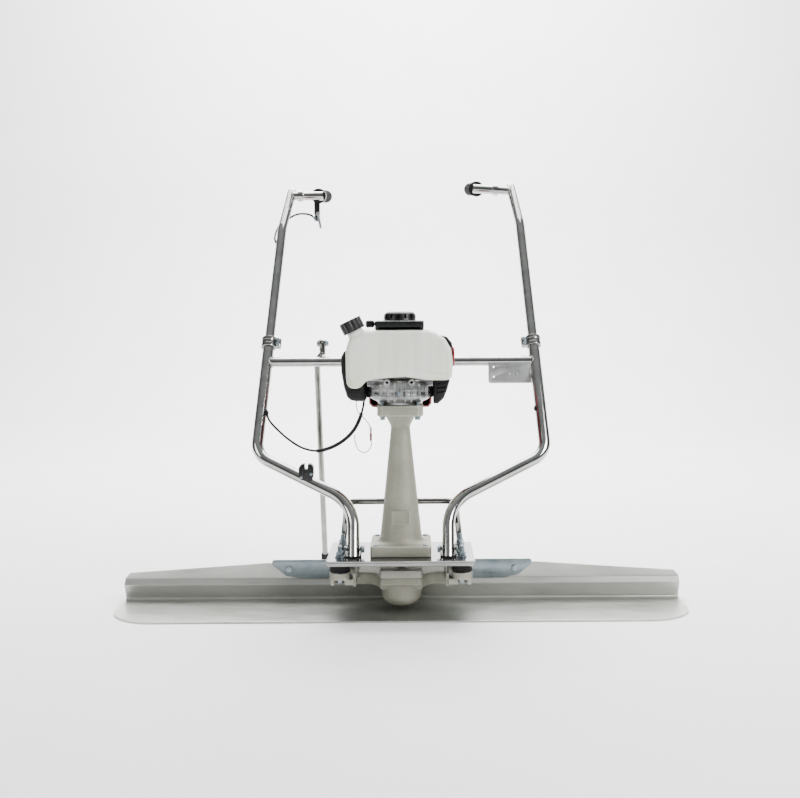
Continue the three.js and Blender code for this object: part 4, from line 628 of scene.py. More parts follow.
# ---------------------------------------------------------------- rubber mounts
# Four short rubber buffers stand on the exciter's corners and carry the base plate. A bolt goes up through
# each from below, with a washer and nut on top of the plate.
rubber, rubber_skin = begin_finish("black_rubber")
rubber_cloud = speckle(rubber, 30.0, 4.0)
rubber_grain = speckle(rubber, 800.0, 3.0, rough=0.7)
rubber_bloom = speckle(rubber, 70.0, 5.0, rough=0.7)
rubber_base = tone(rubber, rubber_cloud, (0.004, 0.004, 0.004), (0.010, 0.010, 0.009))
fed(rubber, rubber_skin.inputs["Base Color"],
    mixed(rubber, rescaled(rubber, rubber_bloom, 0.0, 0.35, 0.55, 0.8), rubber_base, (0.016, 0.0155, 0.015)))
fed(rubber, rubber_skin.inputs["Roughness"], rescaled(rubber, rubber_bloom, 0.55, 0.78))
rubber_skin.inputs["Specular IOR Level"].default_value = 0.2
relief(rubber, rubber_skin, rubber_grain, 0.25, 0.0004)

for corner, (x, y) in mount_spots.items():
    low, high = size_of(f"rubber_mount_{corner}")
    z0, z1 = low[2], high[2]
    middle = (z0 + z1) / 2
    radius = high[0] - x
    buffer_profile = [
        (5.3, z0), (radius - 2.2, z0), (radius - 0.8, z0 + 0.5), (radius, z0 + 2.0), (radius - 0.4, z0 + 4.2),
        (radius - 1.2, middle), (radius - 0.4, z1 - 4.2), (radius, z1 - 2.0), (radius - 0.8, z1 - 0.5),
        (radius - 2.2, z1), (5.3, z1),
    ]
    piece(f"buffer_{corner}", turned(buffer_profile, (x, y, 0), sides=56), rubber, "machine",
          [f"rubber_mount_{corner}"])

    low, high = size_of(f"mount_bolt_{corner}")
    washer_z = high[2] - 23
    head_top = low[2] + 8.5
    stud = fused(
        turned(disc(4.9, 0, washer_z - head_top + 8, 0.4), (x, y, head_top - 1), (0, 0, 1), 32),
        hexagon(14.6, 7.0, (x, y, head_top - 1.6), (0, 0, -1), 30, 1.2),
        turned(disc(10.0, 0, 1.6, 0.3), (x, y, head_top), (0, 0, -1)),
        turned(disc(10.4, washer_z, washer_z + 2.0, 0.4), (x, y, 0)),
        hexagon(14.6, 9.0, (x, y, washer_z + 1.9), (0, 0, 1), 0 if y < 0 else 14),
        thread(4.9, 0, high[2] - washer_z - 10.5, 1.5, (x, y, washer_z + 10.4), (0, 0, 1)),
    )
    piece(f"mount_stud_{corner}", stud, zinc, "machine", [f"mount_bolt_{corner}"])

# ---------------------------------------------------------------- base plate
# A tray folded from bright stainless sheet, with a narrow flange all round and a large hole for the shaft.
# The fold leaves a thin shadow line just under the top sheet, and the skirt below it is a little paler.
bright, bright_skin = begin_finish("bright_plate")
bright_cloud = speckle(bright, 12.0, 4.0)
bright_brush = speckle(bright, 700.0, 3.0, (0.03, 1, 1))
bright_scuff = speckle(bright, 110.0, 5.0, (0.4, 1, 1), 0.75)
bright_base = tone(bright, bright_cloud, (0.21, 0.21, 0.205), (0.29, 0.29, 0.28))
fed(bright, bright_skin.inputs["Base Color"],
    mixed(bright, rescaled(bright, bright_scuff, 0.0, 0.3, 0.6, 0.8), bright_base, (0.16, 0.16, 0.155)))
bright_skin.inputs["Metallic"].default_value = 1.0
fed(bright, bright_skin.inputs["Roughness"], rescaled(bright, bright_scuff, 0.10, 0.26))
relief(bright, bright_skin, bright_brush, 0.04, 0.0002)


# A rounded rectangle carried up through levels, each with its own inset, for plates with shaped edges.
def stacked(half_x, half_y, radius, levels, centre=(0, 0)):
    bm = bmesh.new()
    rings = []
    for z, inset in levels:
        outline = square(half_x - inset, max(0.3, radius - inset), half_y - inset)
        rings.append([bm.verts.new((centre[0] + u, centre[1] + v, z)) for u, v in outline])
    count = len(rings[0])
    for first, second in zip(rings, rings[1:]):
        for k in range(count):
            j = (k + 1) % count
            bm.faces.new((first[k], first[j], second[j], second[k]))
    bm.faces.new(rings[0])
    bm.faces.new(list(reversed(rings[-1])))
    return as_shape(bm)


plate_low, plate_high = size_of("base_plate")
PLATE_TOP = plate_high[2]
PLATE_UNDER = plate_low[2]
PLATE_X = plate_high[0]
PLATE_Y = plate_high[1]
SHEET = 3.0
tray = stacked(PLATE_X, PLATE_Y, 6, [
    (PLATE_UNDER, 2.6), (PLATE_UNDER + 0.7, 1.0), (PLATE_UNDER + 2.2, 0.2), (PLATE_UNDER + 3.6, 0.0),
    (PLATE_TOP - 3.9, 0.0), (PLATE_TOP - 3.7, 0.5), (PLATE_TOP - 3.5, 1.4), (PLATE_TOP - 2.9, 1.4),
    (PLATE_TOP - 2.7, 0.4), (PLATE_TOP - 2.4, 0.0), (PLATE_TOP - 0.6, 0.0), (PLATE_TOP, 0.7),
])
tray = carved(
    tray,
    slab(square(PLATE_X - SHEET, 4, PLATE_Y - SHEET), PLATE_UNDER - 1, PLATE_TOP - 7),
    drilled(26, 100, 140),
)
tray = fused(tray, *[turned(disc(CUP_R - 0.5, PLATE_UNDER, PLATE_TOP - 6, 0.5), (x, y, 0))
                     for x, y in mount_spots.values()])
tray = carved(tray, *[drilled(5.3, 100, 140, (x, y, 0), sides=32)
                      for x, y in mount_spots.values()])
piece("base_tray", tray, bright, "machine", ["base_plate"], 28)

# ---------------------------------------------------------------- column
# A hollow sand-cast cone that joins the base plate to the engine and holds the shaft's upper bearing.
# Four cap screws fix its square foot to the plate, and four bolts hold the engine on its head.
column_low, column_high = size_of("column")
FOOT_LOW = column_low[2]
FOOT_TOP = FOOT_LOW + 22.7
FOOT_HALF = column_high[0]
HEAD_TOP = column_high[2]
HEAD_LOW = HEAD_TOP - 22
CONE_R = 43.5
NECK_R = 20
NECK_Z = 387
HEAD_HALF = 47.5
HEAD_CUT = 10
cone_profile = [
    (0, FOOT_TOP - 2), (CONE_R + 9, FOOT_TOP - 2), (CONE_R + 6.5, FOOT_TOP + 0.8),
    (CONE_R + 2.6, FOOT_TOP + 3.2), (CONE_R + 0.6, FOOT_TOP + 7), (CONE_R - 0.6, FOOT_TOP + 12),
    (NECK_R + 0.4, NECK_Z - 8), (NECK_R, NECK_Z), (NECK_R + 0.8, NECK_Z + 3), (NECK_R + 3.6, NECK_Z + 8),
    (28.5, HEAD_LOW - 7), (31, HEAD_LOW - 3), (31.5, HEAD_LOW + 1), (0, HEAD_LOW + 1),
]
head_plan = []
for a, b in ((1, -1), (1, 1), (-1, 1), (-1, -1)):
    near, far = (a * HEAD_HALF, b * (HEAD_HALF - HEAD_CUT)), (a * (HEAD_HALF - HEAD_CUT), b * HEAD_HALF)
    head_plan += [(*p, 2.5) for p in ([near, far] if a * b > 0 else [far, near])]
foot_block = stacked(FOOT_HALF, FOOT_HALF, 8, [
    (FOOT_LOW, 0.6), (FOOT_LOW + 0.8, 0), (FOOT_TOP - 1.6, 0), (FOOT_TOP - 0.4, 0.6), (FOOT_TOP, 1.8)])
PANEL_Z = (190, 216)
PANEL_HALF = 18
FRAME_LINE = 1.5


def cone_front(z):
    return -(CONE_R - 0.6 + (NECK_R + 0.4 - CONE_R + 0.6) * (z - FOOT_TOP - 12) / (NECK_Z - 8 - FOOT_TOP - 12))


panel_y = cone_front(sum(PANEL_Z) / 2)
panel = carved(
    brick(-PANEL_HALF, PANEL_HALF, panel_y - 1.4, panel_y + 14, *PANEL_Z),
    brick(-PANEL_HALF + FRAME_LINE, PANEL_HALF - FRAME_LINE, panel_y - 3, panel_y - 0.3,
          PANEL_Z[0] + FRAME_LINE, PANEL_Z[1] - FRAME_LINE),
)
column = fused(foot_block, turned(cone_profile, sides=96), slab(filleted(head_plan), HEAD_LOW, HEAD_TOP))
column = carved(
    column,
    turned([(0, FOOT_LOW - 2), (37, FOOT_LOW - 2), (37, FOOT_TOP + 6), (13.5, NECK_Z - 5), (13.5, 401),
            (17.9, 401),
            (17.9, HEAD_TOP + 2), (0, HEAD_TOP + 2)], sides=64),
)
column = cast_skinned(column, 1.5, 4)
piece("column_casting", fused(column, panel), cast, "machine", ["column"], 60)
ball_bearing("upper_ball_bearing", "bearing_upper", 7.8)

FOOT_SCREW = 51
HEAD_BOLT = 36
for index, (a, b) in enumerate(((-1, -1), (1, -1), (-1, 1), (1, 1))):
    x, y = a * FOOT_SCREW, b * FOOT_SCREW
    screw = fused(
        turned([(0, -0.5), (5.4, -0.5), (5.6, 1.0), (5.0, 2.2), (2.6, 2.7), (2.4, 1.2), (0, 1.2)],
               (x, y, FOOT_TOP + 0.2)),
        turned(disc(3.9, 0, 24, 0.4), (x, y, FOOT_LOW - 1), sides=24),
    )
    piece(f"foot_screw_{index + 1}", screw, zinc, "machine")
    x, y = a * HEAD_BOLT, b * HEAD_BOLT
    bolt = fused(
        turned(disc(7.4, 0, 1.4, 0.3), (x, y, HEAD_LOW - 0.2), (0, 0, -1)),
        hexagon(10.5, 6.4, (x, y, HEAD_LOW - 1.5), (0, 0, -1), 20 * index, 0.3),
        turned(disc(3.1, 0, 30, 0.4), (x, y, HEAD_LOW - 1), sides=24),
    )
    piece(f"head_bolt_{index + 1}", bolt, zinc, "machine")

# ---------------------------------------------------------------- drive line
# The engine's crankshaft ends in two clutch shoes inside a drum; the drum's shaft runs down the column to the
# eccentric weight in the cup. All of it is turned steel on one upright axis.
shaft_low, shaft_high = size_of("drive_shaft")
DRUM_R = 38
DRUM_Z = 440
shaft = turned([
    (0, shaft_low[2]), (6.7, shaft_low[2]), (7.5, shaft_low[2] + 0.8), (7.5, 98), (16.4, 98), (17, 98.6),
    (17, 111.4), (16.4, 112), (7.5, 112), (7.5, DRUM_Z), (DRUM_R - 0.8, DRUM_Z), (DRUM_R, DRUM_Z + 0.8),
    (DRUM_R, shaft_high[2] - 0.6), (DRUM_R - 0.6, shaft_high[2]), (DRUM_R - 3, shaft_high[2]),
    (DRUM_R - 3, DRUM_Z + 4), (0, DRUM_Z + 4),
], sides=56)
piece("shaft_with_drum", shaft, machined, "shaft", ["drive_shaft"])
weight_low, weight_high = size_of("eccentric_weight")
WEIGHT_R = 30
half_disc = [(WEIGHT_R * math.cos(math.radians(6 * k)), WEIGHT_R * math.sin(math.radians(6 * k)))
             for k in range(31)]
weight = fused(slab(half_disc, weight_low[2], weight_high[2]),
               turned(disc(13.5, weight_low[2], weight_high[2], 0.5)))
weight = carved(weight, drilled(7.9, 0, 90, sides=32))
piece("half_moon_weight", eased(weight, 0.8), machined, "shaft", ["eccentric_weight"])
crank_low, crank_high = size_of("crankshaft")
crank = turned([
    (0, crank_low[2]), (32.2, crank_low[2]), (33, crank_low[2] + 0.8), (33, 469.2), (32.2, 470), (8, 470),
    (8, 502), (24.2, 502), (25, 502.8), (25, 537.2), (24.2, 538), (8, 538), (8, 562), (35, 562), (36, 563),
    (36, 577), (35, 578), (12, 578), (12, crank_high[2] - 0.6), (11.4, crank_high[2]), (0, crank_high[2]),
], sides=56)
piece("crank_with_shoes_and_flywheel", crank, machined, "crank", ["crankshaft"])

# ---------------------------------------------------------------- crankcase and cylinder
# The engine's die-cast crankcase stands upright with its clutch bell below: a wide rim, two hollow bosses and
# a rib in front, a lug at each side. The finned cylinder lies flat, pointing back under the red cover.
diecast, diecast_skin = begin_finish("bright_casting")
diecast_cloud = speckle(diecast, 40.0, 4.0)
diecast_grain = speckle(diecast, 500.0, 3.0, rough=0.7)
diecast_base = tone(diecast, diecast_cloud, (0.17, 0.174, 0.176), (0.33, 0.335, 0.335))
diecast_edge = diecast.node_tree.nodes.new("ShaderNodeNewGeometry").outputs["Pointiness"]
# Hollows, where the pointiness is low, are darkened towards near-black: painted shade in the crevices. Raised
# edges are lightened as edge wear.
diecast_crevice_shade = mixed(diecast, rescaled(diecast, diecast_edge, 0.75, 0.0, 0.42, 0.495), diecast_base,
                     (0.03, 0.03, 0.03))
fed(diecast, diecast_skin.inputs["Base Color"],
    mixed(diecast, rescaled(diecast, diecast_edge, 0.0, 0.6, 0.51, 0.57), diecast_crevice_shade, (0.66, 0.66, 0.65)))
diecast_skin.inputs["Metallic"].default_value = 0.85
fed(diecast, diecast_skin.inputs["Roughness"], rescaled(diecast, diecast_cloud, 0.26, 0.42))
relief(diecast, diecast_skin, diecast_grain, 0.22, 0.0004)

case_low, case_high = size_of("crankcase")
BELL_LOW = case_low[2]
BELL_TOP = 486
BELL_R = 64
CASE_TOP = case_high[2]
bell = turned([
    (0, BELL_LOW), (45, BELL_LOW), (46, BELL_LOW + 1), (46.6, BELL_LOW + 4), (50, BELL_LOW + 7),
    (57, BELL_LOW + 10), (61.5, BELL_LOW + 13), (63, BELL_LOW + 15), (BELL_R, BELL_LOW + 17),
    (BELL_R, BELL_LOW + 24), (BELL_R - 2, BELL_LOW + 25), (BELL_R - 2, BELL_LOW + 30),
    (BELL_R, BELL_LOW + 31), (BELL_R, BELL_TOP - 9), (BELL_R - 1.5, BELL_TOP - 6),
    (BELL_R - 5, BELL_TOP - 1), (BELL_R - 7, BELL_TOP), (0, BELL_TOP)], sides=96)
case_parts = [
    slab(square(38, 5), BELL_TOP - 1, CASE_TOP),
    brick(-38, 38, 0, 46, BELL_TOP - 1, CASE_TOP),
    brick(-BELL_R - 4, -BELL_R + 14, -34, -4, BELL_TOP - 13, BELL_TOP),
    brick(BELL_R - 14, BELL_R + 4, -34, -4, BELL_TOP - 13, BELL_TOP),
    brick(-4, 4, -BELL_R - 2.5, -BELL_R + 8, BELL_LOW + 18, BELL_TOP),
]
BOSS_X = (-26, 24)
for x in BOSS_X:
    case_parts.append(turned(disc(6.6, 0, 27, 1.0), (x, -BELL_R - 3, BELL_TOP - 3), (0, 1, 0), 32))
for angle in (-150, -128, -52, -30, 20, 60, 120, 160):
    a = math.radians(angle)
    case_parts.append(turned(disc(4.6, 0, 26, 0.8),
                             ((BELL_R - 1) * math.cos(a), (BELL_R - 1) * math.sin(a), BELL_LOW + 16)))
for angle in (-112, -100, -80, -68):
    a = math.radians(angle)
    fin = brick(-1.2, 1.2, -BELL_R - 1.2, -BELL_R + 14, BELL_LOW + 8, BELL_TOP - 4)
    fin.data.transform(Matrix.Rotation(a + math.pi / 2, 4, "Z"))
    case_parts.append(fin)
case = fused(bell, *case_parts)
case = carved(
    case,
    turned([(0, BELL_LOW - 1), (43, BELL_LOW - 1), (43, 478), (8.6, 478), (8.6, CASE_TOP + 1),
            (0, CASE_TOP + 1)], sides=64),
    drilled(28, 498, 542, sides=48),
    *[drilled(3.1, -1, 16, (x, -BELL_R - 3, BELL_TOP - 3), (0, 1, 0), 24) for x in BOSS_X],
)
piece("crankcase_casting", cast_skinned(case, 1.1, 3), diecast, "machine", ["crankcase"],
      50)
rib_bolt = fused(turned(disc(5.4, 0, 1.0, 0.2), (0, -BELL_R - 2.2, BELL_TOP - 24), (0, -1, 0), 32),
                 hexagon(8, 4.4, (0, -BELL_R - 3.1, BELL_TOP - 24), (0, -1, 0), 10))
piece("rib_bolt", rib_bolt, zinc, "machine")

barrel_low, barrel_high = size_of("cylinder_block")
BORE_Z = (barrel_low[2] + barrel_high[2]) / 2
FIN_R = (barrel_high[2] - barrel_low[2]) / 2
barrel_profile = [(17, 0), (24, 0)]
FINS = 9
for k in range(FINS):
    z = 8 + k * 6.7
    barrel_profile += [(24, z), (FIN_R - 0.6, z), (FIN_R, z + 0.5), (FIN_R, z + 1.6), (FIN_R - 0.6, z + 2.1),
                       (24, z + 2.3)]
barrel_long = barrel_high[1] - barrel_low[1]
barrel_profile += [(24, barrel_long - 0.8), (23.2, barrel_long), (4.3, barrel_long), (4.3, barrel_long - 6),
                   (17, barrel_long - 10)]
barrel = turned(barrel_profile, (0, barrel_low[1], BORE_Z), (0, 1, 0), 64)
piece("finned_cylinder", barrel, diecast, "machine", ["cylinder_block"])

# ---------------------------------------------------------------- engine covers
# A red moulded shroud wraps the cylinder at the back, a black box covers the air cleaner on the left and a
# black guard covers the silencer on the right. All are injection-moulded and screwed on.
moulded, moulded_skin = begin_finish("black_plastic")
moulded_cloud = speckle(moulded, 26.0, 3.0)
moulded_grain = speckle(moulded, 1100.0, 2.0)
moulded_scuff = speckle(moulded, 120.0, 5.0, rough=0.75)
moulded_base = tone(moulded, moulded_cloud, (0.004, 0.0042, 0.0044), (0.0085, 0.009, 0.0092))
fed(moulded, moulded_skin.inputs["Base Color"],
    mixed(moulded, rescaled(moulded, moulded_scuff, 0.0, 0.35, 0.6, 0.8), moulded_base,
          (0.020, 0.020, 0.020)))
fed(moulded, moulded_skin.inputs["Roughness"], rescaled(moulded, moulded_scuff, 0.26, 0.42))
moulded_skin.inputs["Specular IOR Level"].default_value = 0.3
relief(moulded, moulded_skin, moulded_grain, 0.18, 0.0003)

shroud, shroud_skin = begin_finish("red_plastic")
shroud_cloud = speckle(shroud, 18.0, 3.0)
shroud_peel = speckle(shroud, 300.0, 2.0)
fed(shroud, shroud_skin.inputs["Base Color"],
    tone(shroud, shroud_cloud, (0.15, 0.005, 0.011), (0.23, 0.009, 0.018)))
fed(shroud, shroud_skin.inputs["Roughness"], rescaled(shroud, shroud_cloud, 0.24, 0.36))
relief(shroud, shroud_skin, shroud_peel, 0.06, 0.0003)


def inset_by(outline, distance):
    area = sum(a[0] * b[1] - b[0] * a[1] for a, b in zip(outline, outline[1:] + outline[:1]))
    turn = 1 if area > 0 else -1
    moved = []
    for i, here in enumerate(outline):
        back, ahead = outline[i - 1], outline[(i + 1) % len(outline)]
        normals = []
        for (a, b), (c, d) in ((back, here), (here, ahead)):
            run = math.hypot(c - a, d - b) or 1e-9
            normals.append((-(d - b) / run * turn, (c - a) / run * turn))
        (nx, ny), (mx, my) = normals
        grow = distance / max(0.35, 1 + nx * mx + ny * my)
        moved.append((here[0] + (nx + mx) * grow, here[1] + (ny + my) * grow))
    return moved


# A moulded box: its outline runs through the depth, both rims are rolled over, and either face may be
# crowned.
def moulded_box(outline, low, high, ease, axis="Y", crown_low=0.0, crown_high=0.0, seam=None):
    bm = bmesh.new()
    levels = []
    for k in range(6):
        a = math.radians(18 * k)
        levels.append((low + ease * (1 - math.sin(a)), ease * (1 - math.cos(a))))
    rows = sorted(levels, key=lambda row: row[0])
    if seam is not None:
        rows += [(seam - 1.2, 0.0), (seam - 0.5, -0.7), (seam + 0.5, -0.7), (seam + 1.2, 0.0)]
    rows += [(high - (w - low), i) for w, i in reversed(sorted(levels, key=lambda row: row[0]))]
    rings = []
    for w, inset in rows:
        ring = outline if abs(inset) < 1e-6 else inset_by(outline, inset)
        rings.append([bm.verts.new(on_axis(axis, u, v, w)) for u, v in ring])
    count = len(outline)
    for first, second in zip(rings, rings[1:]):
        for k in range(count):
            j = (k + 1) % count
            bm.faces.new((first[k], first[j], second[j], second[k]))
    for ring, w, crown, inset in ((rings[0], rows[0][0], -crown_low, rows[0][1]),
                                  (rings[-1], rows[-1][0], crown_high, rows[-1][1])):
        if not crown:
            bm.faces.new(ring)
            continue
        flat = inset_by(outline, inset)
        cu = sum(p[0] for p in flat) / count
        cv = sum(p[1] for p in flat) / count
        previous = ring
        for share in (0.92, 0.8, 0.65, 0.45, 0.25):
            loop = [bm.verts.new(on_axis(axis, cu + (u - cu) * share, cv + (v - cv) * share,
                                         w + crown * (1 - share ** 2)))
                    for u, v in flat]
            for k in range(count):
                j = (k + 1) % count
                bm.faces.new((previous[k], previous[j], loop[j], loop[k]))
            previous = loop
        bm.faces.new(previous)
    return as_shape(bm)


red_low, red_high = size_of("engine_cover")
red_outline = filleted([
    (-60, 422, 8), (60, 422, 6), (66, 430, 5), (68, 500, 8), (110, 505, 6), (116, 512, 5), (116, 546, 8),
    (108, 558, 8), (62, 587, 14), (-60, 587, 14), (-68, 570, 10), (-68, 430, 6),
])
red = moulded_box(red_outline, red_low[1], red_high[1], 7.5, crown_high=0.01)
red = carved(red, moulded_box(inset_by(red_outline, 4), red_low[1] - 20, red_high[1] - 4, 6))
red = carved(
    red,
    *[slab(filleted([(-48, z, 2.4), (48, z, 2.4), (48, z + 5, 2.4), (-48, z + 5, 2.4)]), red_high[1] - 1.6,
           red_high[1] + 5, "Y")
      for z in (440, 452, 464, 476)],
    drilled(13, -30, 6, (0, red_high[1], BORE_Z), (0, 1, 0), 48),
)
piece("red_shroud", red, shroud, "machine", ["engine_cover"], 40)
boot_low, boot_high = size_of("spark_plug_cap")
boot = turned([(0, 0), (9.4, 0), (10, 0.8), (10, 7), (9.2, 8), (10, 9), (10, boot_high[1] - boot_low[1] - 6),
               (7.4, boot_high[1] - boot_low[1] - 4.4), (7, boot_high[1] - boot_low[1] - 0.8),
               (6.2, boot_high[1] - boot_low[1]), (0, boot_high[1] - boot_low[1])], (0, boot_low[1], BORE_Z),
               (0, 1, 0))
piece("plug_boot", boot, rubber, "machine", ["spark_plug_cap"])

filter_low, filter_high = size_of("air_cleaner_cover")
filter_outline = filleted([
    (-72, 441, 2), (-72, 552, 2), (-104, 552, 10), (-117, 544, 10), (-122.8, 531, 12), (-122, 502, 20),
    (-117, 472, 16), (-110.5, 450, 10), (-102, 443, 8), (-92, 441, 8),
])
filter_box = moulded_box(filter_outline, filter_low[1], filter_high[1], 5.5, crown_low=1.0)
filter_box = carved(filter_box, *[
    slab(filleted([(-111, z, 0.9), (-82, z, 0.9), (-82, z + 2.2, 0.9), (-113, z + 2.2, 0.9)]),
         filter_low[1] - 3, filter_low[1] + 1.6, "Y")
    for z in (462, 470, 478, 486)])
piece("filter_box", filter_box, moulded, "machine", ["air_cleaner_cover"])
# A flat black sheet of painted shade fills the gap beside each cover; a small moulded cover sits over the
# right shoulder.
SHADE_SHEET_INNER = 52
SHADE_SHEET_RIGHT = 69
SHADE_SHEET_LOW, SHADE_SHEET_HIGH = 444, 503
SHADE_SHEET_FRONT, SHADE_SHEET_BACK = 38, 45.5
SHADE_SHEET_CORNER = 3
for name, edge in (("left", filter_high[0]), ("right", SHADE_SHEET_RIGHT)):
    inner = math.copysign(SHADE_SHEET_INNER, edge)
    corners = [(inner, SHADE_SHEET_LOW), (edge, SHADE_SHEET_LOW), (edge, SHADE_SHEET_HIGH), (inner, SHADE_SHEET_HIGH)]
    outline = filleted([(x, z, SHADE_SHEET_CORNER) for x, z in corners])
    shade_sheet = eased(slab(outline, SHADE_SHEET_FRONT, SHADE_SHEET_BACK, "Y"), 1.2, 2)
    piece(f"shade_filler_sheet_{name}", shade_sheet, moulded, "machine")
elbow_cover = moulded_box(filleted([(84, 552, 3), (110, 548, 4), (109, 561, 5), (99, 573, 5), (84, 577, 4)]),
                          6, 49, 3)
piece("shoulder_cover", elbow_cover, moulded, "machine")
guard_low, guard_high = size_of("muffler_guard")
guard_outline = filleted([
    (69, 437, 2), (78, 436.5, 5), (90, 447, 8), (97, 464, 10), (102, 481, 10), (104, 500, 10), (104, 548, 6),
    (69, 548, 2),
])
guard = moulded_box(guard_outline, guard_low[1], guard_high[1], 4.5, crown_low=0.6)
guard = carved(guard, *[
    slab(filleted([(75, z, 1.2), (96, z + 3, 1.2), (96, z + 6, 1.2), (75, z + 3, 1.2)]), guard_low[1] - 3,
         guard_low[1] + 4, "Y")
    for z in (458, 467, 476, 485)])
piece("silencer_guard", guard, moulded, "machine", ["muffler_guard"])

# ---------------------------------------------------------------- starter
# The recoil starter sits on top: a black hood with a guard bar over the tank, a round notched dome for the
# rope pulley, and a pull handle parked at the left on a short stub of rope.
hood_low, hood_high = size_of("starter_hood")
HOOD_HALF = hood_high[0]
HOOD_TOP = 608
DOME_TOP = hood_high[2]
TANK_TOP = 589
bar_plan = filleted([
    (-HOOD_HALF, hood_low[1], 7), (HOOD_HALF, hood_low[1], 7), (HOOD_HALF, hood_high[1], 9),
    (-HOOD_HALF, hood_high[1], 9)])
hood = moulded_box(bar_plan, TANK_TOP + 6.5, HOOD_TOP, 2.2, "Z")
skirt = moulded_box(filleted([(-HOOD_HALF + 0.5, -40, 4), (HOOD_HALF - 0.5, -40, 4),
                              (HOOD_HALF - 0.5, hood_high[1] - 0.5, 9),
                              (-HOOD_HALF + 0.5, hood_high[1] - 0.5, 9)]), hood_low[2], HOOD_TOP - 2, 1.5,
                              "Z")
dome = turned([(0, HOOD_TOP - 2), (36, HOOD_TOP - 2), (36, HOOD_TOP - 0.6), (34.4, HOOD_TOP + 0.4),
               (33.5, HOOD_TOP + 2), (33.5, DOME_TOP - 9), (32.6, DOME_TOP - 6), (30.4, DOME_TOP - 3),
               (27, DOME_TOP - 1.2), (22, DOME_TOP - 0.3),
               (17, DOME_TOP), (15, DOME_TOP - 0.4), (14, DOME_TOP - 1.4), (0, DOME_TOP - 1.4)], sides=96)
feet = []
for side in (-1, 1):
    inner, outer = sorted((side * (HOOD_HALF - 8), side * (HOOD_HALF - 0.4)))
    feet.append(slab(filleted([(inner, TANK_TOP + 1.6, 1.5), (outer, TANK_TOP + 1.6, 1.5),
                               (outer, HOOD_TOP - 3, 1),
                               (inner, HOOD_TOP - 3, 1)]), hood_low[1] + 3, -42, "Y"))
hood = fused(hood, skirt, dome, *feet)
notches = []
for k in range(14):
    a = math.radians(360 / 14 * k + 8)
    slot = brick(28.4, 40, -2.6, 2.6, HOOD_TOP + 5, DOME_TOP - 5.5)
    slot.data.transform(Matrix.Rotation(a, 4, "Z"))
    notches.append(slot)
hood = carved(hood, *notches)
hood = carved(hood, slab(square(HOOD_HALF - 4, 5, 38), hood_low[2] - 2, HOOD_TOP - 5))
piece("starter_housing", eased(hood, 0.45, 2, 40), moulded, "machine", ["starter_hood"])
pull_low, pull_high = size_of("starter_grip")
pull_outline = filleted([(pull_low[0], pull_low[2], 4), (-53, pull_low[2], 3), (-53, pull_high[2], 3),
                         (pull_low[0], pull_high[2], 4)])
pull = moulded_box(pull_outline, pull_low[1], pull_high[1], 3.2)
pull = fused(pull, turned(disc(3, -1, pull_high[0] + 52.6, 0.3), (-53, -15, 601.5), (1, 0, 0), 24))
pull = carved(pull,
    *[slab(filleted([(pull_low[0] + 4, 597, 1), (pull_low[0] + 13, 597, 1), (pull_low[0] + 13, 606, 1),
                                     (pull_low[0] + 4, 606, 1)]), y, y + 2.4, "Y")
                                     for y in (pull_low[1] - 1,)])
piece("starter_pull_handle", pull, moulded, "pull", ["starter_grip"])

# ---------------------------------------------------------------- fuel tank
# A blow-moulded translucent tank hangs across the front of the engine. The fuel shows as a slightly warmer,
# darker band low down, and a fine parting line runs round the middle of its depth.
milky, milky_skin = begin_finish("milky_plastic")
milky_where = milky.node_tree.nodes.new("ShaderNodeTexCoord")
milky_split = milky.node_tree.nodes.new("ShaderNodeSeparateXYZ")
milky.node_tree.links.new(milky_where.outputs["Object"], milky_split.inputs[0])
milky_level = rescaled(milky, milky_split.outputs["Z"], 0.0, 1.0, 0.480, 0.500)
# Soft vertical bands across the tank's wall colour are painted shade; the same noise also gives the wall a
# faint ripple of relief.
milky_shade_bands_and_ripple = speckle(milky, 34.0, 2.0, (1, 0.3, 0.06))
milky_cloud = speckle(milky, 10.0, 3.0)
milky_wall_with_shade_bands = tone(milky, milky_shade_bands_and_ripple, (0.66, 0.70, 0.60), (0.80, 0.82, 0.74), 0.30, 0.70)
milky_fuel = tone(milky, milky_cloud, (0.60, 0.63, 0.46), (0.70, 0.72, 0.57))
fed(milky, milky_skin.inputs["Base Color"], mixed(milky, milky_level, milky_fuel, milky_wall_with_shade_bands))
fed(milky, milky_skin.inputs["Roughness"], rescaled(milky, milky_cloud, 0.30, 0.42))
milky_skin.inputs["Subsurface Weight"].default_value = 0.25
milky_skin.inputs["Subsurface Radius"].default_value = (0.012, 0.014, 0.010)
relief(milky, milky_skin, milky_shade_bands_and_ripple, 0.35, 0.0012)
relief(milky, milky_skin, speckle(milky, 260.0, 3.0), 0.05, 0.0004)

tank_low = size_of("fuel_tank")[0]
TANK_FRONT = tank_low[1]
TANK_BACK = -43.5
tank_outline = filleted([
    (-109, 548, 16), (-108.5, 507, 30), (-107, 481, 14), (-101, 473, 12), (-88, 471.5, 12), (-78.5, 475, 12),
    (-70, 485, 14), (-60, 489, 16), (-25, 493, 20), (12, 495, 16), (34, 491.5, 16), (60, 488, 14),
    (97, 488, 8), (106, 494, 7), (107.5, 524, 12), (104, 550, 8), (92, 571, 7), (73, 584, 7),
    (58, TANK_TOP, 8), (-62, TANK_TOP, 8), (-72, 589.5, 14), (-101, 574, 20),
], 8)
TANK_ROLL = 10
tank = moulded_box(tank_outline, TANK_FRONT + 2.2, TANK_BACK, TANK_ROLL, crown_low=2.2,
                   seam=(TANK_FRONT + TANK_BACK) / 2)
cap_low, cap_high = size_of("fuel_cap")
CAP_TILT = math.radians(26)
CAP_R = 23
CAP_HEIGHT = 24
cap_way = Vector((-math.sin(CAP_TILT), 0, math.cos(CAP_TILT)))
cap_middle = Vector([(a + b) / 2 for a, b in zip(cap_low, cap_high)])
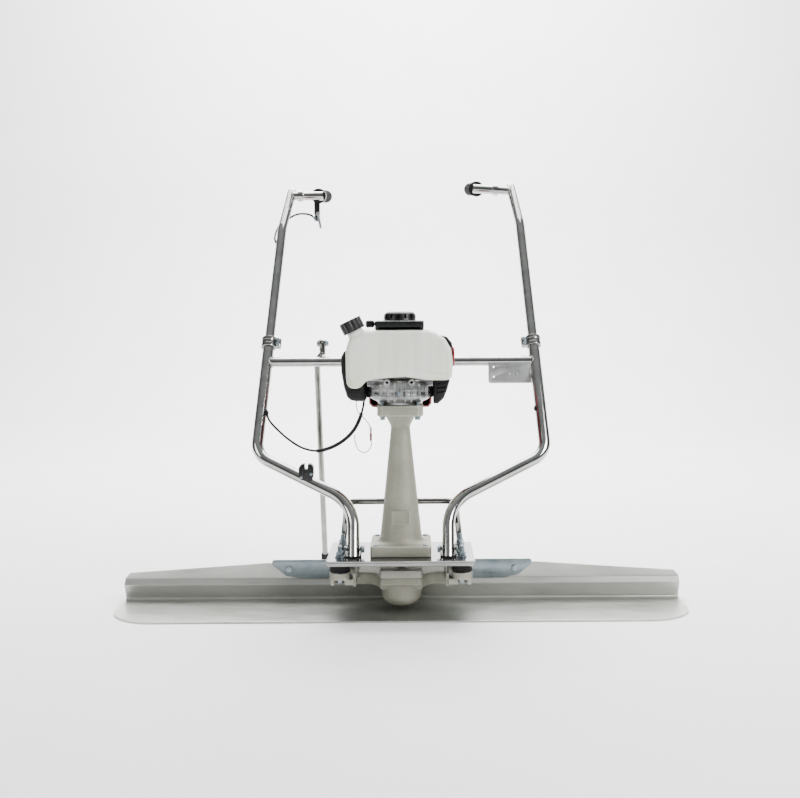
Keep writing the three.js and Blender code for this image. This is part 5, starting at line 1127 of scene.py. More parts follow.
cap_foot = cap_middle - cap_way * (CAP_HEIGHT / 2)
neck = turned([(0, -20), (17.5, -20), (17.0, -6), (16.4, -1.6), (15, -0.6), (15, CAP_HEIGHT - 7.6),
               (14.4, CAP_HEIGHT - 7),
               (12, CAP_HEIGHT - 7), (12, -8), (0, -8)], cap_foot, cap_way, 56)
piece("tank_with_neck", fused(tank, neck), milky, "machine", ["fuel_tank"], 50)


# A cap's skirt has broad grip ribs: the outline waves in and out round the circle.
def ribbed_round(radius, ribs, depth, per_rib=6):
    points = []
    for k in range(ribs * per_rib):
        share = (k % per_rib) / per_rib
        wave = min(1.0, max(0.0, 0.5 + 1.6 * math.sin(2 * math.pi * share)))
        a = 2 * math.pi * k / (ribs * per_rib)
        points.append(((radius - depth * (1 - wave)) * math.cos(a),
                       (radius - depth * (1 - wave)) * math.sin(a)))
    return points


cap = moulded_box(ribbed_round(CAP_R, 14, 2.0), 0, CAP_HEIGHT, 2.2, "Z", crown_high=-0.01)
cap = carved(cap, drilled(15.4, -1, CAP_HEIGHT - 6.2, sides=48),
             turned([(16, CAP_HEIGHT - 1.0), (18, CAP_HEIGHT - 1.0), (18, CAP_HEIGHT + 2),
                     (16, CAP_HEIGHT + 2)], sides=64))
piece("filler_cap", stood(cap, cap_foot, cap_way), moulded, "cap", ["fuel_cap"])

# ---------------------------------------------------------------- carburettor, primer and choke
# A small die-cast carburettor stands behind the filter box. A soft primer bulb is pressed in at its left side
# and a flat choke lever swings on its back.
carb_low, carb_high = size_of("carburettor")
carb_body = eased(brick(carb_low[0], -74, carb_low[1], carb_high[1], carb_low[2], carb_high[2]), 2.0, 3)
carb = fused(
    carb_body,
    turned(disc(11, 0, carb_high[0] + 75, 0.6), (-75, 79, 512), (1, 0, 0)),
    turned(disc(13, 0, 3, 0.6), (-75, 79, 512), (1, 0, 0)),
    turned(disc(5, 0, 3.0, 0.5), (-89, 79, carb_high[2] - 1.6), (0, 0, 1)),
)
carb = carved(carb, drilled(9.3, -1, 6, (carb_low[0], 79, 503), (1, 0, 0)))
piece("carburettor_body", carb, diecast, "machine", ["carburettor"])
primer_low, primer_high = size_of("primer_bulb")
primer_long = primer_high[0] - primer_low[0]
bulb = turned([(0, 0), (9, 0), (9, 3), (8.8, 5), (8.0, 7.2), (6.2, 9.2), (3.6, 10.2), (0, primer_long)],
              (primer_high[0], 79, 503), (-1, 0, 0))
piece("primer_bulb_dome", bulb, rubber, "primer", ["primer_bulb"])
choke_low, choke_high = size_of("choke_lever")
choke = fused(
    turned(disc(6, 0, choke_high[1] - choke_low[1], 0.6), (-86, choke_low[1], 518), (0, 1, 0)),
    slab(filleted([(-88, 514, 1), (-84, 522, 1), (-108, 532, 2), (-112, 530, 2), (-111, 525, 2)]),
         choke_low[1] + 1.2,
         choke_low[1] + 4.2, "Y"),
)
piece("choke_flag", eased(choke, 0.5), moulded, "choke", ["choke_lever"])

# ---------------------------------------------------------------- lower handle tubes and crossbar
# Two bright-chromed steel tubes rise from pivots on the base plate, spread outwards and stand up to the user.
# The crossbar is welded between them, with an ear for the kick stand.
chrome, chrome_skin = begin_finish("chrome_tube")
chrome_cloud = speckle(chrome, 30.0, 4.0)
chrome_haze = speckle(chrome, 150.0, 5.0, rough=0.75)
chrome_draw = speckle(chrome, 500.0, 2.0, (1, 1, 0.04))
fed(chrome, chrome_skin.inputs["Base Color"],
    mixed(chrome, rescaled(chrome, chrome_haze, 0.0, 0.4, 0.6, 0.8),
          tone(chrome, chrome_cloud, (0.38, 0.388, 0.37), (0.48, 0.488, 0.47)),
          (0.34, 0.33, 0.31)))
chrome_skin.inputs["Metallic"].default_value = 1.0
fed(chrome, chrome_skin.inputs["Roughness"], rescaled(chrome, chrome_haze, 0.05, 0.16))
relief(chrome, chrome_skin, chrome_draw, 0.03, 0.0002)

# A darker copy of the chrome for the stand rod and the rear stay: painted shade standing for the dark
# surroundings that these rods reflect.
shaded_chrome, shaded_chrome_skin = begin_finish("chrome_with_painted_shade")
shaded_chrome_cloud = speckle(shaded_chrome, 30.0, 4.0)
shaded_chrome_haze = speckle(shaded_chrome, 160.0, 5.0, rough=0.75)
fed(shaded_chrome, shaded_chrome_skin.inputs["Base Color"], tone(shaded_chrome, shaded_chrome_cloud, (0.17, 0.168, 0.16), (0.25, 0.248, 0.235)))
shaded_chrome_skin.inputs["Metallic"].default_value = 1.0
fed(shaded_chrome, shaded_chrome_skin.inputs["Roughness"], rescaled(shaded_chrome, shaded_chrome_haze, 0.12, 0.24))
relief(shaded_chrome, shaded_chrome_skin, shaded_chrome_haze, 0.05, 0.0003)

LEAN = 0.56
INWARD = 0.05
PIVOT_X = 97
PIVOT_Y = -45
PIVOT_Z = 140
TUBE_R = 12.5
BEND_X = 309.5
BEND_Z = 321
FOOT_BEND_X = 99
FOOT_BEND_Z = 225.6
TUBE_END_Z = 560


def frame_y(z):
    return PIVOT_Y + LEAN * (z - PIVOT_Z)


def on_upright(side, z):
    return Vector((side * (BEND_X - INWARD * (z - BEND_Z)), frame_y(z), z))


def upright_way(side):
    return Vector((-side * INWARD, LEAN, 1)).normalized()


# A run of corners, each with its bend radius, becomes a smooth centre line.
def bent(corners, step=5):
    points = []
    for i, (here, radius) in enumerate(corners):
        here = Vector(here)
        if radius == 0 or i in (0, len(corners) - 1):
            points.append(here)
            continue
        back = (Vector(corners[i - 1][0]) - here).normalized()
        ahead = (Vector(corners[i + 1][0]) - here).normalized()
        turn = math.pi - back.angle(ahead)
        reach = radius * math.tan(turn / 2)
        centre = here + (back + ahead).normalized() * (radius / math.cos(turn / 2))
        start = here + back * reach - centre
        normal = (here + back * reach - centre).cross(here + ahead * reach - centre).normalized()
        steps = max(3, round(math.degrees(turn) / step))
        for k in range(steps + 1):
            points.append(centre + Matrix.Rotation(turn * k / steps, 3, normal) @ start)
    return points


# Carries a round section along a centre line, with one radius or one for each point. With a wall it is a
# pipe.
def swept(path, radius, wall=0.0, sides=36, closed=False):
    bm = bmesh.new()
    count = len(path)
    ways = []
    for i in range(count):
        before = path[i - 1] if (i or closed) else path[0]
        after = path[(i + 1) % count] if (i < count - 1 or closed) else path[-1]
        ways.append((after - before).normalized())
    across = ways[0].orthogonal().normalized()
    outer, inner = [], []
    for i in range(count):
        if i:
            across = ways[i - 1].rotation_difference(ways[i]).to_matrix() @ across
            across = (across - ways[i] * across.dot(ways[i])).normalized()
        other = ways[i].cross(across)
        r = radius[i] if isinstance(radius, (list, tuple)) else radius
        for store, reach in ((outer, r), (inner, r - wall)):
            store.append([bm.verts.new(path[i] + (across * math.cos(a) + other * math.sin(a)) * reach)
                          for a in (2 * math.pi * k / sides
                                    for k in range(sides))] if (store is outer or wall) else None)
    spans = [(i, (i + 1) % count) for i in range(count if closed else count - 1)]
    for store in ([outer, inner] if wall else [outer]):
        for i, j in spans:
            offset = 0
            if closed and j == 0:
                first = store[0]
                offset = min(range(sides), key=lambda s: (first[s].co - store[i][0].co).length)
            for k in range(sides):
                m = (k + 1) % sides
                bm.faces.new((store[i][k], store[i][m], store[j][(m + offset) % sides],
                              store[j][(k + offset) % sides]))
    if not closed:
        for i in (0, count - 1):
            if wall:
                for k in range(sides):
                    m = (k + 1) % sides
                    bm.faces.new((outer[i][k], outer[i][m], inner[i][m], inner[i][k]))
            else:
                bm.faces.new(outer[i])
    return as_shape(bm)


# A weld bead follows the line where one round bar meets another, in small overlapping ripples.
def weld(bar_at, bar_way, bar_r, tube_at, tube_way, tube_r, sign, bead=1.7):
    path, radii = [], []
    across = bar_way.orthogonal().normalized()
    other = bar_way.cross(across)
    for k in range(72):
        a = 2 * math.pi * k / 72
        start = bar_at + (across * math.cos(a) + other * math.sin(a)) * bar_r
        low, high = 0.0, 60.0
        for _ in range(24):
            middle = (low + high) / 2
            spot = start + bar_way * (sign * middle)
            off = spot - tube_at
            distance = (off - tube_way * off.dot(tube_way)).length
            if distance > tube_r:
                low = middle
            else:
                high = middle
        path.append(start + bar_way * (sign * low))
        radii.append(bead * (1 + 0.14 * math.sin(k * 2 * math.pi / 4.0)))
    return swept(path, radii, sides=10, closed=True)


weld_metal, weld_skin = begin_finish("chromed_weld")
weld_cloud = speckle(weld_metal, 300.0, 4.0)
fed(weld_metal, weld_skin.inputs["Base Color"],
    tone(weld_metal, weld_cloud, (0.24, 0.24, 0.23), (0.42, 0.42, 0.40)))
weld_skin.inputs["Metallic"].default_value = 1.0
fed(weld_metal, weld_skin.inputs["Roughness"], rescaled(weld_metal, weld_cloud, 0.18, 0.4))
relief(weld_metal, weld_skin, weld_cloud, 0.3, 0.0006)

BAR_Z = 515
BAR_R = 11
for name, side in (("left", -1), ("right", 1)):
    foot = Vector((side * PIVOT_X, frame_y(PIVOT_Z - 22), PIVOT_Z - 22))
    knee = Vector((side * FOOT_BEND_X, frame_y(FOOT_BEND_Z), FOOT_BEND_Z))
    run = bent([
        (foot, 0), (knee, 88),
        (Vector((side * BEND_X, frame_y(BEND_Z), BEND_Z)), 48), (on_upright(side, TUBE_END_Z), 0),
    ], 3)
    tube = carved(swept(run, TUBE_R, 1.5, 44),
                  brick(side * PIVOT_X - 40, side * PIVOT_X + 40, -120, 10, 60, 129.6))
    piece(f"lower_tube_{name}", tube, chrome, "machine", [f"handle_tube_{name}"], 50)
bar_end = on_upright(1, BAR_Z)
bar_line = [Vector((-bar_end.x + 9, bar_end.y, BAR_Z)), Vector((0, bar_end.y, BAR_Z)),
            Vector((bar_end.x - 9, bar_end.y, BAR_Z))]
crossbar = swept(bar_line, BAR_R, 1.5, 44)
EAR_X = -173.5
EAR_THICK = 7
STAND_Y = 180
STAND_Z = 556
ear_outline = filleted([
    (STAND_Y - 10, STAND_Z + 10, 9.9), (STAND_Y - 10, BAR_Z + 20, 6), (bar_end.y - 8, BAR_Z + 4, 0),
    (bar_end.y + 8, BAR_Z + 4, 0),
    (STAND_Y + 10, BAR_Z + 20, 6), (STAND_Y + 10, STAND_Z + 10, 9.9)])
ear = eased(slab(ear_outline, EAR_X - EAR_THICK / 2, EAR_X + EAR_THICK / 2, "X"), 0.9, 2)
ear = carved(ear, drilled(4.3, -9, 9, (EAR_X, STAND_Y, STAND_Z), (1, 0, 0), 28))
piece("crossbar_tube", fused(crossbar, ear), chrome, "machine", ["cross_bar"], 40)
for name, side in (("left", -1), ("right", 1)):
    bead = weld(Vector((side * (bar_end.x - 40), bar_end.y, BAR_Z)), Vector((1, 0, 0)), BAR_R,
                on_upright(side, BAR_Z),
                upright_way(side), TUBE_R, side)
    piece(f"crossbar_weld_{name}", bead, weld_metal, "machine")

# ---------------------------------------------------------------- pivots on the base plate
# Each lower tube stands in a bright U bracket on the plate and swings on one cross bolt with a thin nut.
for name, side in (("left", -1), ("right", 1)):
    low, high = size_of(f"base_bracket_{name}")
    base_z = low[2]
    x = (low[0] + high[0]) / 2
    y0, y1 = low[1], high[1]
    top = high[2]
    ears = []
    for x0, x1 in ((low[0], low[0] + 3), (high[0] - 3, high[0])):
        ears.append(slab(filleted([(y0, base_z, 0.5), (y1, base_z, 0.5), (y1, top, 9), (y0, top, 9)]), x0, x1,
                         "X"))
    bracket = fused(brick(low[0] + 1, high[0] - 1, y0, y1, base_z, base_z + 3), *ears)
    bracket = carved(bracket, drilled(4.3, -40, 40, (x, PIVOT_Y, PIVOT_Z), (1, 0, 0), 28))
    piece(f"pivot_bracket_{name}", eased(bracket, 0.6, 2), bright, "machine", [f"base_bracket_{name}"])
    inner, outer = (high[0] + 0.3, low[0] - 0.3) if side < 0 else (low[0] - 0.3, high[0] + 0.3)
    pin = fused(
        turned(disc(3.9, 0, abs(outer - inner) + 2, 0.3), (inner + side * -1, PIVOT_Y, PIVOT_Z), (side, 0, 0),
               32),
        turned(disc(7.6, 0, 1.2, 0.3), (inner, PIVOT_Y, PIVOT_Z), (-side, 0, 0)),
        hexagon(12.4, 4.6, (inner - side * 1.1, PIVOT_Y, PIVOT_Z), (-side, 0, 0), 8, 0.3),
        hexagon(12.6, 2.9, (outer, PIVOT_Y, PIVOT_Z), (side, 0, 0), 22),
    )
    piece(f"pivot_bolt_{name}", pin, zinc, "machine", [f"base_bolt_{name}"])

# ---------------------------------------------------------------- rear stay
# One chromed rod, bent to a low arch behind the column. Its ends are flattened, drilled and held under the
# nuts of the two rear buffers.
stay_low, stay_high = size_of("rear_stay")
STAY_R = 6.5
STAY_Y = 46
STAY_Z = stay_high[2] - STAY_R
STAY_BACK = 19
STAY_FOOT = stay_low[2]
row_x = abs(mount_spots["rear_left"][0])
arch = bent([
    (Vector((-row_x, REAR_ROW + STAY_BACK, STAY_FOOT + 11)), 0), (Vector((-115, STAY_Y, STAY_Z)), 20),
    (Vector((115, STAY_Y, STAY_Z)), 20), (Vector((row_x, REAR_ROW + STAY_BACK, STAY_FOOT + 11)), 0)], 4)
stay_parts = []
for side in (-1, 1):
    x = side * row_x
    tongue = slab(filleted([(x - 9, REAR_ROW - 9, 8.9), (x + 9, REAR_ROW - 9, 8.9),
                            (x + 9, REAR_ROW + STAY_BACK + 4, 3),
                            (x - 9, REAR_ROW + STAY_BACK + 4, 3)]), STAY_FOOT, STAY_FOOT + 4.6)
    wedge = slab(filleted([(REAR_ROW + STAY_BACK - 8, STAY_FOOT + 3, 0),
                           (REAR_ROW + STAY_BACK + 3.8, STAY_FOOT + 2, 2),
                           (REAR_ROW + STAY_BACK + 5.8, STAY_FOOT + 15, 3),
                           (REAR_ROW + STAY_BACK - 6, STAY_FOOT + 15, 3)]),
                 x - 7, x + 7, "X")
    stay_parts += [eased(tongue, 0.8), eased(wedge, 2.0, 3)]
stay = fused(swept(arch, STAY_R, sides=36), *stay_parts)
stay = carved(stay, *[drilled(5.3, 100, 160, (side * row_x, REAR_ROW, 0), sides=28) for side in (-1, 1)],
              *[drilled(10.8, STAY_FOOT + 4.7, 175, (side * row_x, REAR_ROW, 0)) for side in (-1, 1)])
piece("rear_arch_stay", stay, shaded_chrome, "machine", ["rear_stay"], 40)

# ---------------------------------------------------------------- blank plate and clip
# A small plain plate hangs under the crossbar beside the right tube, drilled for rivets. A forked black
# clip is screwed to the left sloping tube.
plate_finish, plate_finish_skin = begin_finish("grey_plate")
plate_cloud = speckle(plate_finish, 40.0, 4.0)
plate_brush = speckle(plate_finish, 600.0, 2.0, (0.04, 1, 1))
fed(plate_finish, plate_finish_skin.inputs["Base Color"],
    tone(plate_finish, plate_cloud, (0.30, 0.31, 0.305), (0.38, 0.39, 0.385)))
plate_finish_skin.inputs["Metallic"].default_value = 0.8
fed(plate_finish, plate_finish_skin.inputs["Roughness"], rescaled(plate_finish, plate_cloud, 0.34, 0.48))
relief(plate_finish, plate_finish_skin, plate_brush, 0.08, 0.0003)
tag_low, tag_high = size_of("id_plate")
tag = slab(filleted([(tag_low[0], tag_low[2], 6), (tag_high[0] - 1.5, tag_low[2], 1),
                     (tag_high[0] - 3.5, tag_high[2], 1),
                     (tag_low[0], tag_high[2], 1.5)]), tag_low[1], tag_high[1], "Y")
tag = carved(tag, drilled(12.9, -80, 80, on_upright(1, 490), upright_way(1), 48),
             *[drilled(1.9, -5, 8, (tag_low[0] + u, tag_low[1], tag_low[2] + v), (0, 1, 0), 24)
               for u, v in ((12, 14), (12, 36))])
piece("blank_plate", eased(tag, 0.4), plate_finish, "machine", ["id_plate"])
for index, (u, v) in enumerate(((46, 20), (62, 20))):
    rivet = turned([(0, 0), (3.2, 0), (3.0, 0.7), (2.2, 1.3), (1.1, 1.6), (0, 1.7)],
                   (tag_low[0] + u, tag_low[1] + 0.1, tag_low[2] + v),
                   (0, -1, 0), 28)
    piece(f"plate_rivet_{index + 1}", rivet, plate_finish, "machine")

clip_low, clip_high = size_of("tube_clip")
clip_x = (clip_low[0] + clip_high[0]) / 2
cz0, cz1 = clip_low[2], clip_high[2]
clip = slab(filleted([
    (clip_x - 12, cz0, 3), (clip_x + 12, cz0, 3), (clip_x + 15.3, cz0 + 9, 4), (clip_x + 15.3, cz1 - 7, 5),
    (clip_x + 11, cz1 - 1.5, 3), (clip_x + 3.4, cz1, 2), (clip_x + 3.4, cz1 - 12, 3.3),
    (clip_x - 3.4, cz1 - 12, 3.3), (clip_x - 3.4, cz1, 2), (clip_x - 11, cz1 - 1.5, 3),
    (clip_x - 15.3, cz1 - 7, 5), (clip_x - 15.3, cz0 + 9, 4),
], 12), clip_low[1], clip_high[1], "Y")
slope_from = Vector((-FOOT_BEND_X, frame_y(FOOT_BEND_Z), FOOT_BEND_Z))
slope_to = Vector((-BEND_X, frame_y(BEND_Z), BEND_Z))
slope_way = (slope_to - slope_from).normalized()
clip = carved(clip, drilled(12.8, 0, 230, slope_from, slope_way, 56))
piece("forked_clip", eased(clip, 1.0, 2, 40), moulded, "machine", ["tube_clip"])
for index, offset in enumerate((-10.5, 10.5)):
    screw = turned([(0, 0), (3.4, 0), (3.4, 1.2), (2.6, 2.4), (1.2, 2.8), (0, 2.9)],
                   (clip_x + offset, clip_low[1] + 0.2, cz0 + 9 + offset * 0.35), (0, -1, 0), 28)
    piece(f"clip_screw_{index + 1}", screw, zinc, "machine")

# ---------------------------------------------------------------- kick stand
# A chromed rod props the machine up from behind. Its top is a flat tongue bolted to the crossbar's ear, and
# its foot wears a rubber ferrule.
LEG_X = -191
LEG_R = 6.7
tongue_x1 = EAR_X - EAR_THICK / 2 - 0.3
tongue_x0 = tongue_x1 - 6
foot_bottom = size_of("stand_foot")[0][2]
leg_way = Vector((0, 408 - STAND_Y, -STAND_Z)).normalized()
leg_side = Vector((0, -leg_way.z, leg_way.y))
leg_long = (STAND_Z - 11 * abs(leg_way.y) - foot_bottom) / -leg_way.z


def along_leg(distance, x):
    return Vector((x, STAND_Y, STAND_Z)) + leg_way * distance


tongue_outline = []
for distance, half in ((36, 5.5), (18, 8.5)):
    spot = leg_way * distance + leg_side * half
    tongue_outline.append((STAND_Y + spot.y, STAND_Z + spot.z))
lead = math.atan2(leg_side.z, leg_side.y)
for k in range(19):
    a = lead + math.radians(10 * k)
    tongue_outline.append((STAND_Y + 10 * math.cos(a), STAND_Z + 10 * math.sin(a)))
for distance, half in ((18, -8.5), (36, -5.5)):
    spot = leg_way * distance + leg_side * half
    tongue_outline.append((STAND_Y + spot.y, STAND_Z + spot.z))
tongue = eased(slab(tongue_outline, tongue_x0, tongue_x1, "X"), 1.0, 2)
rod_line = bent([(along_leg(24, tongue_x0 + 3), 0), (along_leg(44, LEG_X), 14),
                 (along_leg(leg_long - 6, LEG_X), 0)], 4)
rod_radii = [LEG_R * (0.62 if i == 0 else 1.0) for i in range(len(rod_line))]
leg = fused(tongue, swept(rod_line, rod_radii, sides=36))
leg = carved(leg, drilled(4.3, -12, 12, (tongue_x0 + 3, STAND_Y, STAND_Z), (1, 0, 0), 28))
piece("stand_rod", leg, shaded_chrome, "stand", ["stand_leg"], 40)
boot = turned([(0, 0), (9.2, 0), (10.4, 0.5), (11, 1.6), (11, 6), (10.6, 7), (10.6, 9), (10.0, 12), (9.2, 34),
               (8.6, 35.6),
               (7.2, 36), (7.1, 36), (7.1, 5.5), (0, 5.5)], along_leg(leg_long, LEG_X), -leg_way)
piece("stand_ferrule", boot, rubber, "stand", ["stand_foot"])
bolt_high = size_of("stand_bolt")[1]
stand_bolt = fused(
    turned(disc(3.9, 0, bolt_high[0] - tongue_x0 + 1, 0.4), (tongue_x0 - 1, STAND_Y, STAND_Z), (1, 0, 0), 32),
    turned(disc(8, 0, 1.2, 0.3), (tongue_x0 - 0.2, STAND_Y, STAND_Z), (-1, 0, 0)),
    hexagon(12.4, 4.6, (tongue_x0 - 1.3, STAND_Y, STAND_Z), (-1, 0, 0), 12, 0.3),
    hexagon(12.6, 5.0, (EAR_X + EAR_THICK / 2 + 0.3, STAND_Y, STAND_Z), (1, 0, 0), 25),
)
piece("stand_pivot_bolt", stand_bolt, zinc, "machine", ["stand_bolt"])

# ---------------------------------------------------------------- clamps and upper tubes
# Each upper tube slides down inside the lower one and is held by a split ring with two lug screws. Its top is
# closed with a round end, and a short tube is welded to its side to carry the grip.
UPPER_R = 10.7
RIGHT_EXTRA = 11
TOP_REACH = 13
COLLAR_AT = {-1: 17, 1: 33}
SLEEVE_LONG = 62
CROSS_R = 9.3
for name, side in (("left", -1), ("right", 1)):
    way = upright_way(side)
    middle = on_upright(side, TUBE_END_Z) + way * -4
    inward = Vector((-side, 0, 0))
    inward = (inward - way * inward.dot(way)).normalized()
    across = way.cross(inward)
    turn = Matrix((inward, across, way)).transposed().to_4x4()
    seat = Matrix.Translation(middle) @ turn
    ring = turned([(11.0, -12), (16.2, -12), (17, -11.2), (17, -4.4), (16.4, -3.8), (16.4, 3.8), (17, 4.4),
                   (17, 11.2),
                   (16.2, 12), (11.0, 12)], sides=64)
    lug = eased(slab(filleted([(12.5, -7, 1), (27.5, -7, 4), (27.5, 7, 4), (12.5, 7, 1)]), -10, 10), 0.8)
    clamp = fused(ring, lug)
    clamp = carved(clamp, brick(9, 40, -1.1, 1.1, -14, 14), drilled(12.8, -13, 4.3, sides=56),
                   drilled(11.0, -14, 14, sides=56))
    clamp.data.transform(seat)
    piece(f"split_clamp_{name}", eased(clamp, 0.3), bright, "machine", [f"tube_clamp_{name}"])
    for index, height in enumerate((-5, 5)):
        screw = fused(
            turned(disc(2.4, -13, 12, 0.3), (20.5, 0, height), (0, 1, 0), 24),
            turned([(0, 0), (4.0, 0), (4.3, 0.4), (4.3, 4.2), (3.8, 4.8), (2.0, 4.8), (2.0, 2.4), (0, 2.4)],
                   (20.5, -7.1, height), (0, -1, 0), 32),
            hexagon(7.6, 3.6, (20.5, 7.1, height), (0, 1, 0)),
        )
        screw.data.transform(seat)
        piece(f"clamp_screw_{name}_{index + 1}", screw, zinc, "machine")


def drawn_out(side, point):
    return point + upright_way(side) * (RIGHT_EXTRA if side > 0 else 0)


cross_way = {-1: Vector((1, 0.02, 0)).normalized(), 1: Vector((-1, 0.02, 0.07)).normalized()}


def shoulder(side):
    return drawn_out(side, Vector((side * 271, 411, 911)))


def along_cross(side, distance):
    return shoulder(side) + cross_way[side] * distance


for name, side in (("left", -1), ("right", 1)):
    kink = drawn_out(side, on_upright(side, 826))
    top_way = (shoulder(side) - kink).normalized()
    top = shoulder(side) + top_way * TOP_REACH
    line = bent([(drawn_out(side, on_upright(side, 470)), 0), (kink, 90), (top, 0)], 3)
    dome = turned([(0, -1.2), (UPPER_R, -1.2), (UPPER_R, 0), (10.3, 3.0), (9.0, 6.0), (6.8, 8.4), (4.0, 9.8),
                   (0, 10.2)], top, top_way, 44)
    tube = fused(swept(line, UPPER_R, 1.4, 44), dome,
                 swept([along_cross(side, 0), along_cross(side, COLLAR_AT[side] - 1)], UPPER_R, sides=44),
                 swept([along_cross(side, 0), along_cross(side, COLLAR_AT[side] + 42)], CROSS_R, sides=36))
    piece(f"upper_tube_{name}_chromed", tube, chrome, f"upper_{name}", [f"upper_tube_{name}"],
          40)
    bead = weld(along_cross(side, 30), -cross_way[side], UPPER_R + 0.05, shoulder(side), top_way,
                UPPER_R + 0.1, 1, 1.3)
    piece(f"shoulder_weld_{name}", bead, weld_metal, f"upper_{name}")
    seam_at = kink + top_way * 62
    seam = turned([(UPPER_R - 0.3, -0.5), (UPPER_R + 0.25, -0.5), (UPPER_R + 0.45, 0), (UPPER_R + 0.25, 0.5),
                   (UPPER_R - 0.3, 0.5)], seam_at, top_way, 44)
    piece(f"tube_seam_{name}", seam, weld_metal, f"upper_{name}")

# ---------------------------------------------------------------- grips
# A chromed sleeve turns on each cross tube, with a raised collar at its root and the grip's core welded on
# near its end. The grips are black moulded rubber with rings along them and a round guard at the start.
core_way = {-1: Vector((0.078, 0.993, 0.087)).normalized(), 1: Vector((-0.1, 0.99, 0.095)).normalized()}
CORE_IN = {-1: 14, 1: 11}
GRIP_FROM = {-1: 27, 1: 15}
GRIP_LONG = 108
CORE_R = 9


def core_root(side):
    return along_cross(side, COLLAR_AT[side] + SLEEVE_LONG - CORE_IN[side])


for name, side in (("left", -1), ("right", 1)):
    start = along_cross(side, COLLAR_AT[side])
    way = cross_way[side]
    sleeve = turned([(9.7, 0), (13.6, 0), (14.5, 0.9), (14.5, 12.1), (13.6, 13), (11.6, 13.2), (11, 14),
                     (11, SLEEVE_LONG - 1.2), (9.8, SLEEVE_LONG), (0, SLEEVE_LONG), (0, SLEEVE_LONG - 3),
                     (9.7, SLEEVE_LONG - 3)],
                     start, way, 48)
    root = core_root(side)
    core = swept([root + core_way[side] * 8, root + core_way[side] * (GRIP_FROM[side] + GRIP_LONG - 6)],
                 CORE_R, 1.5, 40)
    piece(f"grip_sleeve_{name}", fused(sleeve, core), chrome, f"{name}_hand", [f"grip_arm_{name}"],
          40)
    guard_r = 18 if side < 0 else 19
    rings = [(9.4, 0), (guard_r - 1.2, 0), (guard_r - 0.3, 0.5), (guard_r, 1.4), (guard_r, 3.0),
             (guard_r - 0.6, 4.0), (16.4, 6.2), (15.6, 8)]
    z = 9.0
    while z < GRIP_LONG - 10:
        rings += [(14.9, z), (16.0, z + 0.7), (16.0, z + 2.7), (14.9, z + 3.4)]
        z += 5.2
    rings += [(15.2, GRIP_LONG - 6), (16, GRIP_LONG - 5), (16, GRIP_LONG - 3), (14.6, GRIP_LONG - 1),
              (12, GRIP_LONG), (0, GRIP_LONG), (0, GRIP_LONG - 5), (9.4, GRIP_LONG - 5)]
    grip = turned(rings, root + core_way[side] * GRIP_FROM[side], core_way[side], 56)
    piece(f"ringed_grip_{name}", grip, rubber, f"{name}_hand", [f"grip_{name}"], 30)

# ---------------------------------------------------------------- throttle
# A black moulded throttle is clamped round the left core, with a pressed lever hanging from it and a threaded
# cable anchor below. The lever swings on one rivet.
ring_root = core_root(-1)
body = fused(
    turned([(9.4, 13), (17.6, 13), (18.5, 13.9), (18.5, 25.8), (17.6, 26.7), (9.4, 26.7)], ring_root,
           core_way[-1], 56),
    eased(brick(-216, -202, 427.5, 436.5, 866, 899), 1.6, 3),
    eased(brick(-214, -205, 428, 434, 850, 868), 1.2, 2),
)
body = carved(body, drilled(9.35, 0, 40, ring_root, core_way[-1], 48))
piece("throttle_clamp", body, moulded, "left_hand", ["throttle_body"])
anchor_in = Vector((-208, 431, 852))
anchor_out = Vector((-217.5, 431, 861))
anchor_way = (anchor_out - anchor_in).normalized()
anchor_long = (anchor_out - anchor_in).length
anchor = fused(
    turned(disc(3.2, -2, anchor_long, 0.3), anchor_in, anchor_way, 28),
    hexagon(8.2, 3.6, anchor_in + anchor_way * 6.0, anchor_way, 10),
    turned([(0, 0), (4.4, 0), (4.4, 1.2), (3.9, 2.2), (3.4, 3.4), (0, 3.4)],
           anchor_in + anchor_way * (anchor_long - 3.4), anchor_way, 32),
)
piece("cable_anchor", anchor, zinc, "left_hand")
lever_low, lever_high = size_of("throttle_lever")
lever = fused(
    turned(disc(5.4, lever_low[1] + 0.8, lever_high[1] - 0.3, 0.5), (-206, 0, 868), (0, 1, 0), 36),
    eased(slab(filleted([(-209.4, 868, 0.5), (-202.8, 868, 0.5), (-197.4, 837, 1), (-202.4, 834.4, 1)]),
               422.7, 426.4, "Y"), 0.6),
    turned(disc(3.4, lever_low[1], lever_high[1], 0.9), (-200, 0, 835.3), (0, 1, 0), 32),
)
piece("throttle_trigger", lever, plate_finish, "lever", ["throttle_lever"])

# ---------------------------------------------------------------- throttle cable and stop wires
# A black-jacketed cable runs from the throttle round behind the left tube, down inside the tubes and out
# through a grommet to the carburettor. A thin grey stop wire hangs in a loop by a red and cream plug.
jacket, jacket_skin = begin_finish("cable_jacket")
jacket_cloud = speckle(jacket, 90.0, 4.0)
jacket_grain = speckle(jacket, 900.0, 2.0)
fed(jacket, jacket_skin.inputs["Base Color"],
    tone(jacket, jacket_cloud, (0.003, 0.003, 0.0035), (0.009, 0.009, 0.010)))
fed(jacket, jacket_skin.inputs["Roughness"], rescaled(jacket, jacket_cloud, 0.30, 0.46))
jacket_skin.inputs["Specular IOR Level"].default_value = 0.25
relief(jacket, jacket_skin, jacket_grain, 0.12, 0.0002)
CABLE_R = 2.5


